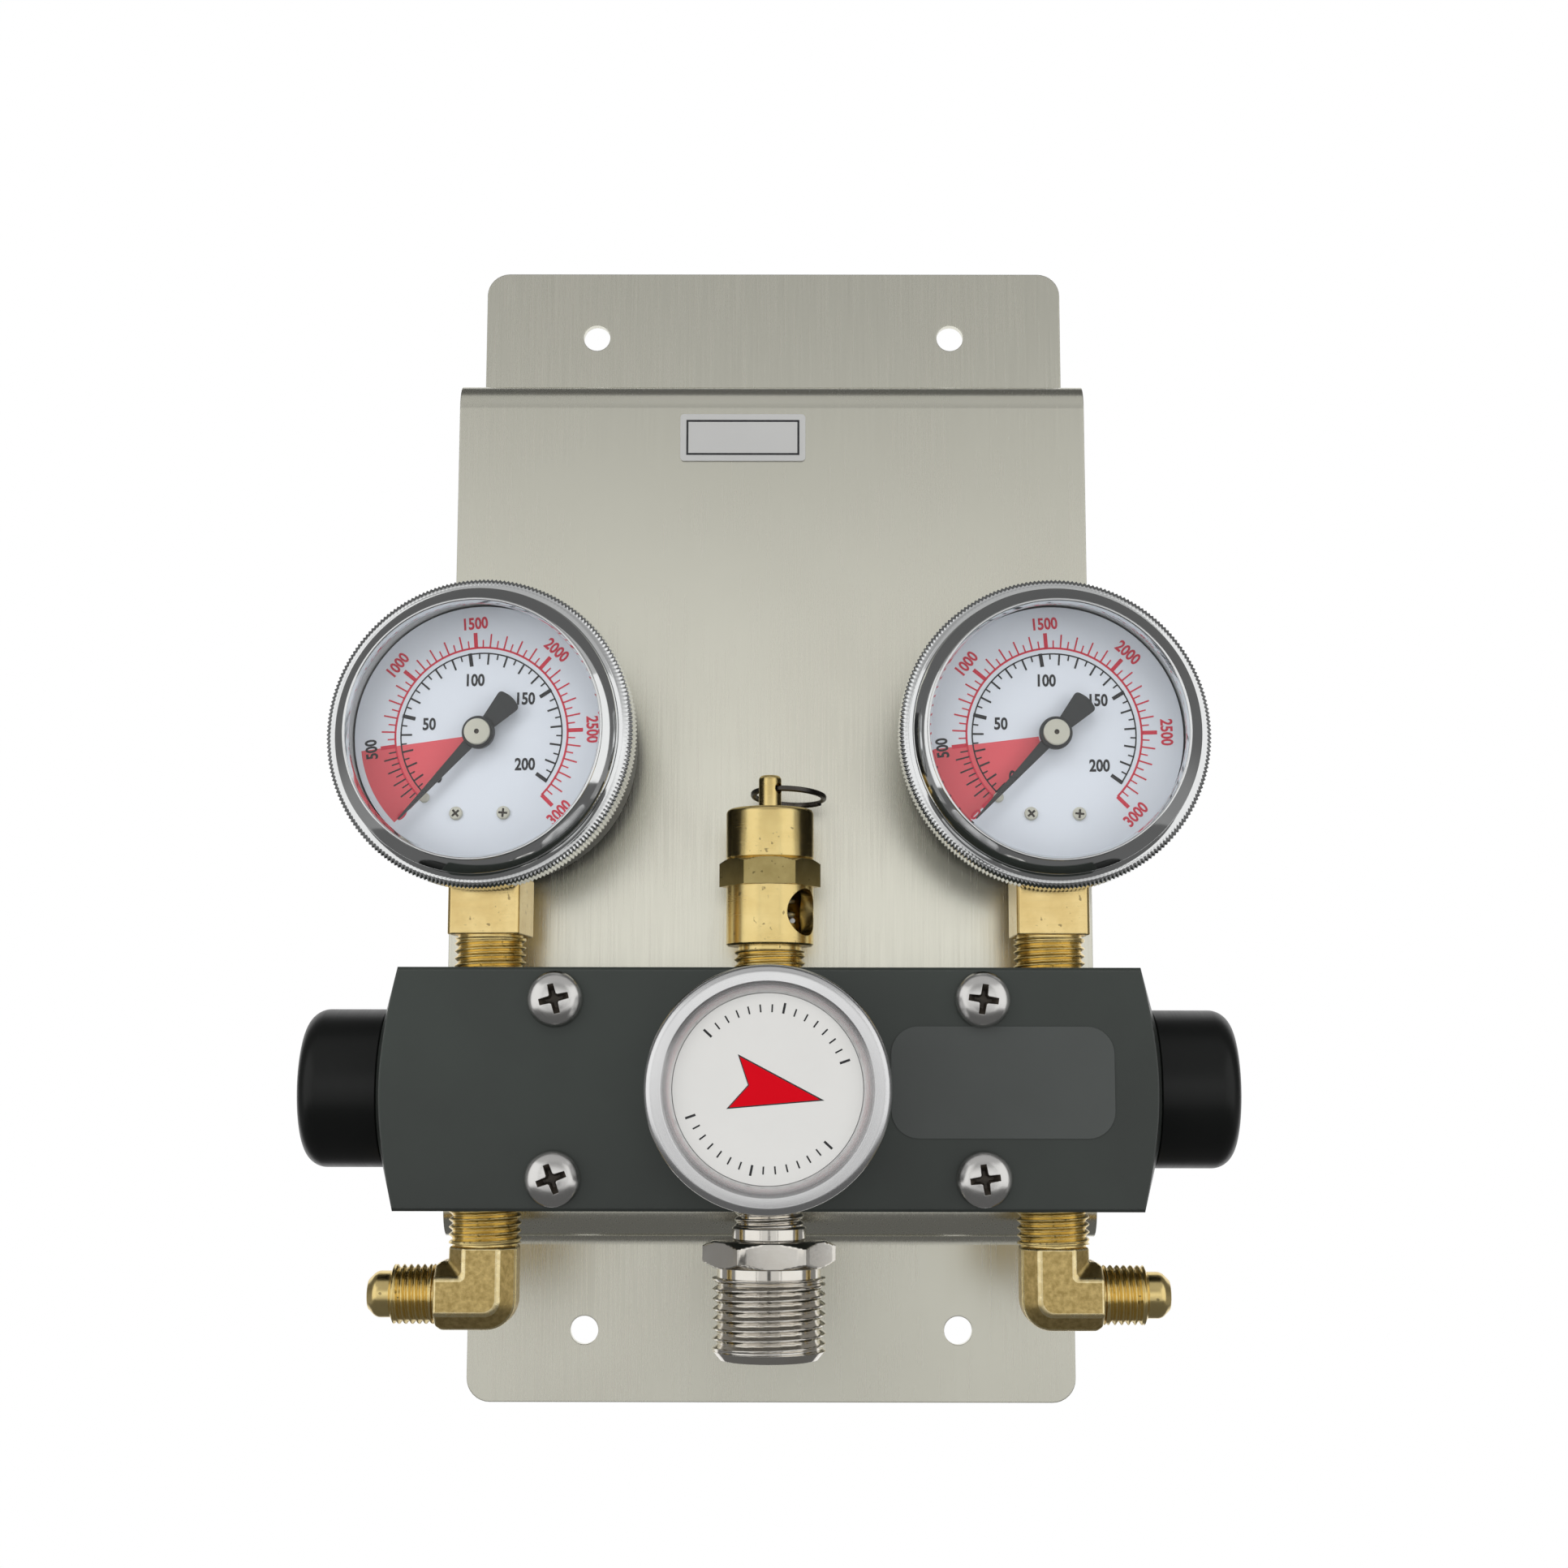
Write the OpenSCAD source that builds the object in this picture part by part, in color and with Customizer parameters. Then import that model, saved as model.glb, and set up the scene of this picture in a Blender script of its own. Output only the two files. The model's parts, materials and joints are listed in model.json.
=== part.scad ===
// Gas manifold panel: a folded wall bracket with a two-inlet changeover valve body,
// a relief valve, two pressure gauges and a priority knob.
// Millimetres. X to the right, Y towards the wall, Z up, origin amid the four wall holes.

/* [Bracket] */
// Width of the folded sheet
panel_w = 130; // [122:1:138]
// Height over both flanges
panel_h = 250; // [242:1:260]
// From the wall to the front of the raised panel
stand_off = 40; // [38:1:46]
// Height of the raised panel over its bends
raised_h = 176; // [172:1:182]
// Sheet thickness
sheet = 2; // [1.5:0.1:2.5]
// Inside radius of the bends
bend_r = 4; // [3:0.5:5]
// Corner radius of the flanges
corner_r = 5; // [3:0.5:8]
// Diameter of the wall holes
wall_hole_d = 6; // [5:0.1:7]
// Spacing of the wall holes across
wall_hole_x = 80; // [70:1:90]
// Wall holes from the upper and lower edge
wall_hole_edge = 15; // [13:0.5:17]

/* [Valve body] */
// Length between the end faces
body_len = 145.6; // [143:0.2:150]
// Height of the block
body_h = 44.5; // [43:0.5:48]
// Thickness of the block, front to back
body_t = 38; // [37:0.5:42]
// Centre of the block above the lower edge of the raised panel
body_rise = 29.5; // [27:0.5:33]
// Angle of the coned ends
cone_angle = 16.5; // [12:0.5:20]
// Chamfer along the long edges
edge_break = 0.6; // [0.3:0.1:1]
// Diameter of the axial bore
bore_d = 16; // [15.6:0.1:16.6]
// Inlet and gauge ports, from the end faces
port_inset = 18.8; // [17.5:0.1:19.5]
// Depth of the threaded ports
port_depth = 11; // [9:0.5:12]
// Drillings between the ports and the bore
drill_d = 6; // [5:0.5:7]
// Quarter inch pipe thread
pipe_d = 13.7; // [13.2:0.1:14]
// Body screws from the end faces
screw_inset = 33.4; // [32:0.2:35]
// Spacing of the body screws up and down
screw_z = 32.6; // [32:0.2:34]
// Body screw thread
screw_d = 5; // [4:0.5:5]
// Pan head of the body screws
screw_head_d = 9.5; // [9:0.1:10]
// Height of that head
screw_head_h = 3.1; // [2.6:0.1:3.6]

/* [End caps] */
// Diameter of the caps
cap_d = 30; // [29:0.5:32]
// Length outside the body
cap_len = 15.4; // [14:0.2:18]
// Rounding of the outer edge
cap_edge_r = 4; // [2:0.5:5]
// Diameter of the spigot in the body
spigot_d = 22; // [21:0.5:23]
// Length of the spigot
spigot_len = 11.3; // [10.5:0.1:11.5]

/* [Priority knob] */
// Diameter of the knob
knob_d = 44; // [42:0.5:46]
// Length of the knob
knob_len = 17; // [16:0.5:20]
// Inner diameter of the front rim
knob_rim_d = 37.7; // [36:0.1:39]
// Diameter of the dial in the knob
knob_dial_d = 33.7; // [32:0.1:34]
// Depth of the dial below the rim
knob_dial_depth = 2; // [1.5:0.1:2.5]
// Diameter of the selector shaft
shaft_d = 8; // [7.5:0.1:8.5]
// Radius of the eccentric
cam_r = 6; // [5.6:0.1:6.1]
// Throw of the eccentric
cam_throw = 1; // [0.8:0.1:1]

/* [Valve trains] */
// Inner face of the piston heads, from the middle
piston_x = 20.3; // [20:0.1:22]
// Length of the piston heads
piston_len = 6; // [5.5:0.1:6.5]
// Diameter of the piston stems
stem_d = 6; // [5.5:0.1:6.4]
// Free room for the main springs
spring_room = 11.7; // [11:0.1:12]
// Length of the seat nozzles
nozzle_len = 12; // [11.5:0.1:12.2]
// Opening between plug and nozzle with no gas on
valve_gap = 0.85; // [0.8:0.05:1]

/* [Relief valve] */
// Exposed thread below the body of the valve
relief_neck_h = 4.95; // [4:0.05:6]
// Round lower body
relief_d = 16.8; // [16.4:0.1:18]
// Height of the lower body
relief_body_h = 11.5; // [11:0.1:13]
// Hexagon across flats
relief_hex = 17; // [16.6:0.1:18]
// Height of the hexagon
relief_hex_h = 5.3; // [5:0.1:7]
// Diameter of the screwed cap
relief_cap_d = 16.6; // [16:0.1:17]
// Height of the cap
relief_cap_h = 9.8; // [9:0.1:11]
// Diameter of the lifting stem
lift_d = 4.4; // [4:0.1:4.6]
// Length of the stem above the cap
lift_h = 6.7; // [6:0.1:8]
// Discharge hole
discharge_d = 9; // [8:0.1:9]
// Turn of the discharge hole to the right of the front
discharge_turn = 56; // [40:1:70]
// Wire of the pull ring
ring_wire = 1.1; // [0.9:0.1:1.2]
// Outer diameter of the pull ring
ring_d = 15; // [14.5:0.1:16]
// Direction of the ring's cross hole, from the X axis
ring_turn = -31.4; // [-40:0.1:-20]
// Droop of the ring below level
ring_droop = 6.5; // [4:0.5:9]

/* [Inlet elbows] */
// Width of the forged legs
leg_w = 12.8; // [12.2:0.1:13.4]
// Bevel of the legs
leg_bevel = 3.1; // [2.5:0.1:3.4]
// Exposed pipe thread above the elbow
elbow_neck_h = 6.6; // [5:0.1:8]
// Depth of the flare axis under the body
flare_drop = 16.45; // [16:0.05:18]
// Shoulder of the outer leg, from the middle of the port
leg_len = 9.8; // [8.5:0.1:12]
// Flare thread
flare_d = 11.1; // [10.6:0.1:11.4]
// Length of the flare thread
flare_len = 7.8; // [7:0.1:9]
// Nose of the flare
nose_d = 8.7; // [8.2:0.1:9]
// Length of the nose
nose_len = 4.7; // [4.2:0.1:5]
// Bore of the flare
flare_bore = 4.8; // [4.4:0.1:5]

/* [Outlet] */
// Neck into the body
outlet_neck_d = 13.2; // [12.8:0.1:13.6]
// Exposed neck
outlet_neck_h = 6.25; // [5:0.05:8]
// Hexagon across flats
outlet_hex = 22; // [21:0.5:24]
// Height of the hexagon
outlet_hex_h = 5; // [4:0.5:7]
// Outlet thread
outlet_d = 21; // [20.6:0.1:21.4]
// Length of the outlet thread
outlet_len = 13.5; // [12:0.5:16]
// Through bore
outlet_bore = 9; // [8:0.1:9.4]

/* [Gauges] */
// Centre of the dials above the top of the block
gauge_rise = 44.75; // [43.5:0.25:46.5]
// Window in the bezel
window_d = 48; // [46:0.2:50]
// Reach of the bezel's lip over the edge of the case
bezel_lip = 2.5; // [2:0.1:3]
// Bezel's front ring outside the case
bezel_wall = 1.5; // [1.3:0.1:2]
// Bezel's grip ring outside the case
grip_wall = 3.3; // [2.8:0.1:3.6]
// Width of the square stem
square_w = 14; // [13.2:0.1:14.4]
// Length of the exposed pipe thread under the square
gauge_neck_h = 6.85; // [5.5:0.05:8]
// Turn of the left gauge about its stem
left_turn = -6; // [-8:0.5:8]
// Turn of the right gauge about its stem
right_turn = 1.5; // [-8:0.5:8]
// Bourdon tube inside the case
tube_inset = 8; // [7.5:0.1:8.5]

/* [Labels] */
// Gas plate width
plate_w = 26; // [22:0.5:30]
// Gas plate height
plate_h = 10; // [8:0.5:12]
// Gas plate centre, across
plate_x = -6; // [-20:1:20]
// Gas plate centre below the upper edge of the raised panel
plate_drop = 12.5; // [12:0.5:16]
// Body label width
label_w = 41; // [38:0.5:42]
// Body label height
label_h = 20.4; // [18:0.1:21]

/* [Hidden] */
$fn = 64;
eps = 1;

// Gaps between pieces
fixed_gap = 0.05;
slide_gap = 0.1;
run_gap = 0.04;
free_gap = 0.3;

// Places of the body, with d the distance out from the wall
axis_d = stand_off + body_t / 2;
axis_z = body_rise - raised_h / 2;
body_front = stand_off + body_t;
body_top = axis_z + body_h / 2;
body_bottom = axis_z - body_h / 2;
screw_hole_d = screw_d + 0.5;
screw_x = body_len - 2 * screw_inset;
port_x = body_len / 2 - port_inset;
leg_end = port_x + leg_len;
wall_hole_z = panel_h - 2 * wall_hole_edge;
plate_z = raised_h / 2 - plate_drop;
gauge_z = body_top + gauge_rise;
case_d = window_d + 2 * bezel_lip;
bezel_front_d = case_d + 2 * bezel_wall;
bezel_d = case_d + 2 * grip_wall;

// Round tools and profiles
function arc(cx, cy, r, from, to, n = 6) =
  [for (i = [0:n]) let (a = from + (to - from) * i / n) [cx + r * cos(a), cy + r * sin(a)]];
function rounded(w, h, r, n = 8) = concat(
  arc(w / 2 - r, h / 2 - r, r, 0, 90, n), arc(r - w / 2, h / 2 - r, r, 90, 180, n),
  arc(r - w / 2, r - h / 2, r, 180, 270, n), arc(w / 2 - r, r - h / 2, r, 270, 360, n));

module turned_x(z = axis_z) {
  translate([0, -axis_d, z]) rotate([0, 90, 0]) rotate_extrude() children();
}
module turned_y(x = 0, z = axis_z) {
  translate([x, 0, z]) rotate([90, 0, 0]) rotate_extrude() children();
}
module turned_z(x = 0) {
  translate([x, -axis_d, 0]) rotate_extrude() children();
}
module hole_x(from, to, d, z = axis_z) {
  translate([from, -axis_d, z]) rotate([0, 90, 0]) cylinder(h = to - from, d = d);
}
module hole_y(from, to, d, x = 0, z = axis_z) {
  translate([x, -from, z]) rotate([90, 0, 0]) cylinder(h = to - from, d = d);
}
module hole_z(from, to, d, x = 0) {
  translate([x, -axis_d, from]) cylinder(h = to - from, d = d);
}
module flat_y(from, to) {
  translate([0, -from, 0]) rotate([90, 0, 0]) linear_extrude(to - from) children();
}
module side(s) {
  mirror([s < 0 ? 1 : 0, 0, 0]) children();
}
module seal_ring(centre_r, wire_r) {
  rotate_extrude() translate([centre_r, 0]) circle(r = wire_r);
}
module hexagon(flats, from, to) {
  translate([0, 0, from]) cylinder(h = to - from, d = flats / cos(30), $fn = 6);
}
module cut_hexagon(flats, from, to, cut_low = true) {
  face_r = 0.985 * flats / 2;
  reach = flats / 2 / cos(30) + 0.2;
  rise = (reach - face_r) * tan(30);
  low = cut_low ? [[face_r, from], [reach, from + rise]] : [[reach, from]];
  intersection() {
    hexagon(flats, from, to);
    rotate_extrude() polygon(concat([[0, from]], low, [[reach, to - rise], [face_r, to], [0, to]]));
  }
}

// A wire wound along +Z, from 0 to its length
module coil(length, outer_d, wire_d, turns, per_turn = 14, ring = 6) {
  steps = ceil(turns * per_turn);
  mean_r = (outer_d - wire_d) / 2;
  points = [for (i = [0:steps]) let (a = 360 * turns * i / steps) for (j = [0:ring - 1])
    let (b = 360 * j / ring, r = mean_r + wire_d / 2 * cos(b))
    [r * cos(a), r * sin(a), wire_d / 2 + (length - wire_d) * i / steps + wire_d / 2 * sin(b)]];
  walls = [for (i = [0:steps - 1]) for (j = [0:ring - 1]) let (k = (j + 1) % ring)
    [i * ring + j, i * ring + k, (i + 1) * ring + k, (i + 1) * ring + j]];
  ends = [[for (j = [ring - 1:-1:0]) j], [for (j = [0:ring - 1]) steps * ring + j]];
  polyhedron(points, concat(walls, ends));
}

// Bracket: a hat section with rounded flanges
raised_z = raised_h / 2;
bend_out = bend_r + sheet;
module bend(d, z, toward_d, toward_z) {
  translate([d, z]) intersection() {
    difference() {
      circle(r = bend_out);
      circle(r = bend_r);
    }
    translate([toward_d < 0 ? -bend_out : 0, toward_z < 0 ? -bend_out : 0])
      square(bend_out);
  }
}
module half_hat() {
  flange_z = raised_z + bend_r;
  panel_z = raised_z - bend_out;
  translate([0, flange_z]) square([sheet, panel_h / 2 - flange_z]);
  bend(bend_out, flange_z, -1, -1);
  translate([bend_out, raised_z - sheet]) square([stand_off - 2 * bend_out, sheet]);
  bend(stand_off - bend_out, panel_z, 1, 1);
  translate([stand_off - sheet, 0]) square([sheet, panel_z]);
}
module bracket() {
  color("silver") difference() {
    intersection() {
      rotate([90, 0, -90]) linear_extrude(panel_w, center = true) {
        half_hat();
        mirror([0, 1]) half_hat();
      }
      flat_y(-eps, stand_off + eps) polygon(rounded(panel_w, panel_h, corner_r));
    }
    for (x = [-1, 1], z = [-1, 1])
      hole_y(-eps, sheet + eps, wall_hole_d, x * wall_hole_x / 2, z * wall_hole_z / 2);
    body_screw_holes(stand_off - sheet - eps, stand_off + eps);
  }
}

// Valve body
module at_body_screws() {
  for (x = [-1, 1], z = [-1, 1])
    translate([x * screw_x / 2, 0, axis_z + z * screw_z / 2]) children();
}
module body_screw_holes(from, to) {
  at_body_screws() hole_y(from, to, screw_hole_d, 0, 0);
}
corner_reach = body_h;
cone_back = (corner_reach - cap_d / 2) * tan(cone_angle);
module coned_blank() {
  end = body_len / 2;
  turned_x() polygon([[0, -end], [cap_d / 2, -end], [corner_reach, cone_back - end],
    [corner_reach, end - cone_back], [cap_d / 2, end], [0, end]]);
}
module body_section() {
  y = body_t / 2;
  z = body_h / 2;
  c = edge_break;
  polygon([[y - c, -z], [y, c - z], [y, z - c], [y - c, z], [c - y, z], [-y, z - c],
    [-y, c - z], [c - y, -z]]);
}
nozzle_x = piston_x + piston_len + spring_room;
chamber_x = nozzle_x + nozzle_len;
spigot_x = body_len / 2 - spigot_len;
bush_d = 16;
bush_len = 10.5;
bush_back = body_front - bush_len;
cam_hole_d = 2 * (cam_r + cam_throw) + 0.4;
pilot_d = 6;
pilot_reach = body_t / 2 - 6.5;
pilot_end = axis_d - pilot_reach;
vent_d = 2;
module manifold_body() {
  color([0.23, 0.25, 0.24]) difference() {
    intersection() {
      coned_blank();
      translate([0, -axis_d, axis_z]) rotate([90, 0, 90])
        linear_extrude(body_len, center = true) body_section();
    }
    hole_x(-body_len / 2, body_len / 2, bore_d);
    for (s = [-1, 1]) {
      side(s) hole_x(spigot_x, body_len / 2 + eps, spigot_d);
      hole_z(body_top - port_depth, body_top + eps, pipe_d + 2 * fixed_gap, s * port_x);
      hole_z(body_bottom - eps, body_bottom + port_depth, pipe_d + 2 * fixed_gap, s * port_x);
      hole_z(body_bottom + port_depth - eps, body_top - port_depth + eps, drill_d, s * port_x);
      hole_y(stand_off - eps, axis_d, vent_d, s * (nozzle_x - 4));
    }
    hole_z(body_top - port_depth, body_top + eps, pipe_d + 2 * fixed_gap);
    hole_z(axis_z, body_top - port_depth + eps, drill_d);
    hole_z(body_bottom - eps, body_bottom + port_depth, outlet_neck_d + 2 * fixed_gap);
    hole_z(body_bottom + port_depth - eps, axis_z, outlet_bore);
    hole_y(bush_back, body_front + eps, bush_d + 2 * fixed_gap);
    hole_y(axis_d, bush_back + eps, cam_hole_d);
    hole_y(pilot_end, axis_d, pilot_d + 2 * run_gap);
    body_screw_holes(stand_off - eps, body_front + eps);
  }
}
nut_flats = 8;
nut_h = 5;
nut_flange_d = 11;
nut_flange_h = 1;
module body_screw() {
  tip = stand_off - sheet - nut_h - 1.5;
  recess_l = 5.2;
  recess_w = 1.1;
  recess_h = 1.8;
  dome = 1.6;
  head_r = screw_head_d / 2;
  difference() {
    turned_y(0, 0) polygon(concat([[0, tip], [screw_d / 2, tip], [screw_d / 2, body_front],
      [head_r, body_front]], arc(head_r - dome, body_front + screw_head_h - dome, dome, 0, 90),
      [[0, body_front + screw_head_h]]));
    for (a = [0, 90])
      translate([0, -body_front - screw_head_h, 0]) rotate([0, a, 0])
        cube([recess_l, 2 * recess_h, recess_w], center = true);
  }
}
module body_screws() {
  color("silver") at_body_screws() body_screw();
}
module body_nuts() {
  seat = stand_off - sheet;
  color("silver") at_body_screws() difference() {
    union() {
      rotate([90, 0, 0]) hexagon(nut_flats, seat - nut_h, seat);
      hole_y(seat - nut_flange_h, seat, nut_flange_d, 0, 0);
    }
    hole_y(seat - nut_h - eps, seat + eps, screw_d + 2 * fixed_gap, 0, 0);
  }
}

// End caps with their seals
seal_wire = 1.7;
seal_room = 2.3;
cap_seal_x = body_len / 2 - 2.2;
cap_groove_r = spigot_d / 2 - fixed_gap - seal_wire + 0.1;
module end_cap(s) {
  seat = body_len / 2;
  tip = seat + cap_len;
  spigot_r = spigot_d / 2 - fixed_gap;
  low = cap_seal_x - seal_room / 2;
  high = cap_seal_x + seal_room / 2;
  color([0.08, 0.09, 0.09]) side(s) turned_x() polygon(concat(
    [[0, spigot_x + fixed_gap], [spigot_r - 0.6, spigot_x + fixed_gap],
      [spigot_r, spigot_x + fixed_gap + 0.6], [spigot_r, low], [cap_groove_r - 0.05, low],
      [cap_groove_r - 0.05, high], [spigot_r, high], [spigot_r, seat], [cap_d / 2, seat]],
    arc(cap_d / 2 - cap_edge_r, tip - cap_edge_r, cap_edge_r, 0, 90, 10), [[0, tip]]));
}
module left_end_cap() { end_cap(-1); }
module right_end_cap() { end_cap(1); }
module cap_seals() {
  wire_r = (spigot_d / 2 - cap_groove_r) / 2 - 0.02;
  color([0.1, 0.1, 0.1]) for (s = [-1, 1])
    translate([s * cap_seal_x, -axis_d, axis_z]) rotate([0, 90, 0])
      seal_ring(cap_groove_r + wire_r, wire_r);
}

// Seat nozzles, which guide the piston stems and hold the gas orifice
stem_seal_x = nozzle_x + 2.5;
stem_wire_r = 0.85;
stem_seal_r = stem_d / 2 + run_gap + stem_wire_r;
guide_len = 5;
lip_x = chamber_x - 3.5;
lip_d = 4;
orifice_d = 2;
module seat_nozzles() {
  guide_r = stem_d / 2 + run_gap;
  groove_r = stem_seal_r + stem_wire_r + 0.05;
  room_r = 5;
  out_r = bore_d / 2 - fixed_gap;
  low = stem_seal_x - 1;
  high = stem_seal_x + 1;
  color("goldenrod") for (s = [-1, 1]) side(s) turned_x() polygon([
    [guide_r, nozzle_x], [out_r, nozzle_x], [out_r, chamber_x], [orifice_d / 2, chamber_x],
    [orifice_d / 2, lip_x], [lip_d / 2, lip_x], [lip_d / 2 + 0.4, lip_x + 1], [room_r, lip_x + 1],
    [room_r, nozzle_x + guide_len], [guide_r, nozzle_x + guide_len], [guide_r, high],
    [groove_r, high], [groove_r, low], [guide_r, low]]);
}
module stem_seals() {
  color([0.1, 0.1, 0.1]) for (s = [-1, 1])
    translate([s * stem_seal_x, -axis_d, axis_z]) rotate([0, 90, 0])
      seal_ring(stem_seal_r, stem_wire_r);
}

// Pistons: a head with a seal, and a hollow stem that carries the seat plug
head_r = bore_d / 2 - slide_gap;
piston_wire_r = 0.9;
piston_seal_x = piston_x + piston_len / 2;
plug_x = lip_x - valve_gap;
plug_d = 3.6;
plug_len = 1.6;
module piston(s) {
  seal_floor = head_r - 2 * piston_wire_r - 0.05;
  low = piston_seal_x - 1.1;
  high = piston_seal_x + 1.1;
  head_end = piston_x + piston_len;
  cross_x = nozzle_x + guide_len + 1;
  tip = plug_x - 0.2;
  color("goldenrod") side(s) difference() {
    turned_x() polygon([[0, piston_x], [head_r, piston_x], [head_r, low], [seal_floor, low],
      [seal_floor, high], [head_r, high], [head_r, head_end], [stem_d / 2, head_end],
      [stem_d / 2, tip], [0, tip]]);
    hole_x(piston_x - eps, cross_x + 0.4, 2.6);
    translate([cross_x, -axis_d, axis_z]) cylinder(h = stem_d + 2, d = 1.6, center = true);
    hole_x(plug_x - plug_len, tip + eps, plug_d + 2 * fixed_gap);
  }
}
module left_piston() { piston(-1); }
module right_piston() { piston(1); }
module piston_seal(s) {
  color([0.1, 0.1, 0.1]) translate([s * piston_seal_x, -axis_d, axis_z]) rotate([0, 90, 0])
    seal_ring(head_r - piston_wire_r, piston_wire_r);
}
module left_piston_seal() { piston_seal(-1); }
module right_piston_seal() { piston_seal(1); }
module seat_plug(s) {
  color("ivory") side(s) hole_x(plug_x - plug_len, plug_x, plug_d);
}
module left_seat_plug() { seat_plug(-1); }
module right_seat_plug() { seat_plug(1); }

// Springs on the pistons, and the cups that the eccentric pushes
cup_len = 6;
cup_floor = 2;
module on_axis(s, x) {
  side(s) translate([x, -axis_d, axis_z]) rotate([0, 90, 0]) children();
}
main_spring_d = 13;
module main_spring(s) {
  from = piston_x + piston_len;
  color("gray") on_axis(s, from) coil(nozzle_x - from, main_spring_d, 1.5, 4.5);
}
module left_main_spring() { main_spring(-1); }
module right_main_spring() { main_spring(1); }
function cup_x(s) = cam_r - s * cam_throw + free_gap;
module spring_cup(s) {
  x = cup_x(s);
  r = bore_d / 2 - slide_gap;
  color("silver") side(s) difference() {
    hole_x(x, x + cup_len, 2 * r);
    hole_x(x + cup_floor, x + cup_len + eps, main_spring_d);
    hole_x(x - eps, x + cup_floor + eps, 3);
  }
}
module left_spring_cup() { spring_cup(-1); }
module right_spring_cup() { spring_cup(1); }
module bias_spring(s) {
  from = cup_x(s) + cup_floor;
  color("gray") on_axis(s, from) coil(piston_x - from, 12, 1.1, 5);
}
module left_bias_spring() { bias_spring(-1); }
module right_bias_spring() { bias_spring(1); }

// Priority knob on the selector shaft
knob_back = body_front + 1;
knob_front = knob_back + knob_len;
shaft_tip = knob_back + 11;
set_screw_d = 4;
set_screw_len = 8;
set_screw_at = knob_back + 6;
module priority_knob() {
  r = knob_d / 2;
  edge = 1.6;
  floor_at = knob_front - knob_dial_depth - 0.8;
  dial_r = knob_dial_d / 2 + 0.1;
  color("gainsboro") difference() {
    turned_y() polygon(concat(
      [[0, knob_back], [r - 0.8, knob_back], [r, knob_back + 0.8]],
      arc(r - edge, knob_front - edge, edge, 0, 90), [[knob_rim_d / 2, knob_front],
        [dial_r, knob_front - knob_dial_depth], [dial_r, floor_at], [0, floor_at]]));
    hole_y(knob_back - eps, shaft_tip + 0.1, shaft_d + 2 * fixed_gap);
    translate([0, -set_screw_at, axis_z - r - eps]) cylinder(h = r, d = set_screw_d + 2 * fixed_gap);
  }
}
module knob_dial() {
  top = knob_front - knob_dial_depth;
  color("white") hole_y(top - 0.8, top, knob_dial_d);
}
module knob_set_screw() {
  color("dimgray") translate([0, -set_screw_at, axis_z - shaft_d / 2 - set_screw_len])
    difference() {
      cylinder(h = set_screw_len, d = set_screw_d);
      translate([0, 0, -eps]) cylinder(h = 2.5 + eps, d = 2 / cos(30), $fn = 6);
    }
}
module selector_shaft() {
  collar_d = 2 * (cam_r - cam_throw) - 0.5;
  cam_t = 8;
  cam_front = axis_d + cam_t / 2;
  collar_end = bush_back - free_gap;
  color("silver") union() {
    hole_y(pilot_end + 0.5, axis_d, pilot_d);
    translate([-cam_throw, 0, 0]) hole_y(axis_d - cam_t / 2, cam_front, 2 * cam_r);
    hole_y(axis_d, collar_end, collar_d);
    hole_y(axis_d, shaft_tip, shaft_d);
  }
}
shaft_wire_r = 0.85;
shaft_seal_d = bush_back + 4.5;
module selector_bush() {
  bore_r = shaft_d / 2 + run_gap;
  out_r = bush_d / 2;
  groove_r = bore_r + 2 * shaft_wire_r + 0.05;
  low = shaft_seal_d - 1;
  high = shaft_seal_d + 1;
  color("goldenrod") turned_y() polygon([[bore_r, bush_back], [out_r, bush_back],
    [out_r, body_front], [bore_r, body_front], [bore_r, high], [groove_r, high],
    [groove_r, low], [bore_r, low]]);
}
module shaft_seal() {
  color([0.1, 0.1, 0.1]) translate([0, -shaft_seal_d, axis_z]) rotate([90, 0, 0])
    seal_ring(shaft_d / 2 + run_gap + shaft_wire_r, shaft_wire_r);
}

// Relief valve with its pull ring
relief_z = body_top + relief_neck_h;
relief_hex_z = relief_z + relief_body_h;
relief_cap_z = relief_hex_z + relief_hex_h;
relief_top = relief_cap_z + relief_cap_h;
relief_floor = relief_z + 1.3;
disc_h = 3;
lift_foot = relief_floor + fixed_gap + disc_h;
spring_top = relief_top - 2.5;
relief_room_d = 12;
relief_spring_d = relief_room_d - 2.2;
module relief_body() {
  color("goldenrod") difference() {
    union() {
      hole_z(body_top - port_depth + fixed_gap, relief_z + eps, pipe_d);
      hole_z(relief_z, relief_hex_z + eps, relief_d);
      translate([0, -axis_d, 0]) cut_hexagon(relief_hex, relief_hex_z, relief_cap_z, false);
    }
    hole_z(relief_floor, relief_cap_z + eps, relief_room_d);
    hole_z(body_top - port_depth - eps, relief_floor + eps, drill_d);
    translate([0, -axis_d, relief_floor + 0.5 + discharge_d / 2]) rotate([0, 0, discharge_turn])
      rotate([90, 0, 0]) cylinder(h = relief_d, d = discharge_d);
  }
}
module relief_cap() {
  r = relief_cap_d / 2;
  edge = 1.2;
  room_r = 5.2;
  hole_r = lift_d / 2 + run_gap;
  spigot_r = relief_room_d / 2 - fixed_gap;
  spigot_z = relief_cap_z - 4.8;
  color("goldenrod") turned_z() polygon(concat(
    [[room_r, spigot_z], [spigot_r, spigot_z], [spigot_r, relief_cap_z], [r, relief_cap_z]],
    arc(r - edge, relief_top - edge, edge, 0, 90),
    [[hole_r, relief_top], [hole_r, spring_top], [room_r, spring_top]]));
}
ring_z = relief_top + lift_h - 2.6;
ring_mean_r = (ring_d - ring_wire) / 2;
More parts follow.
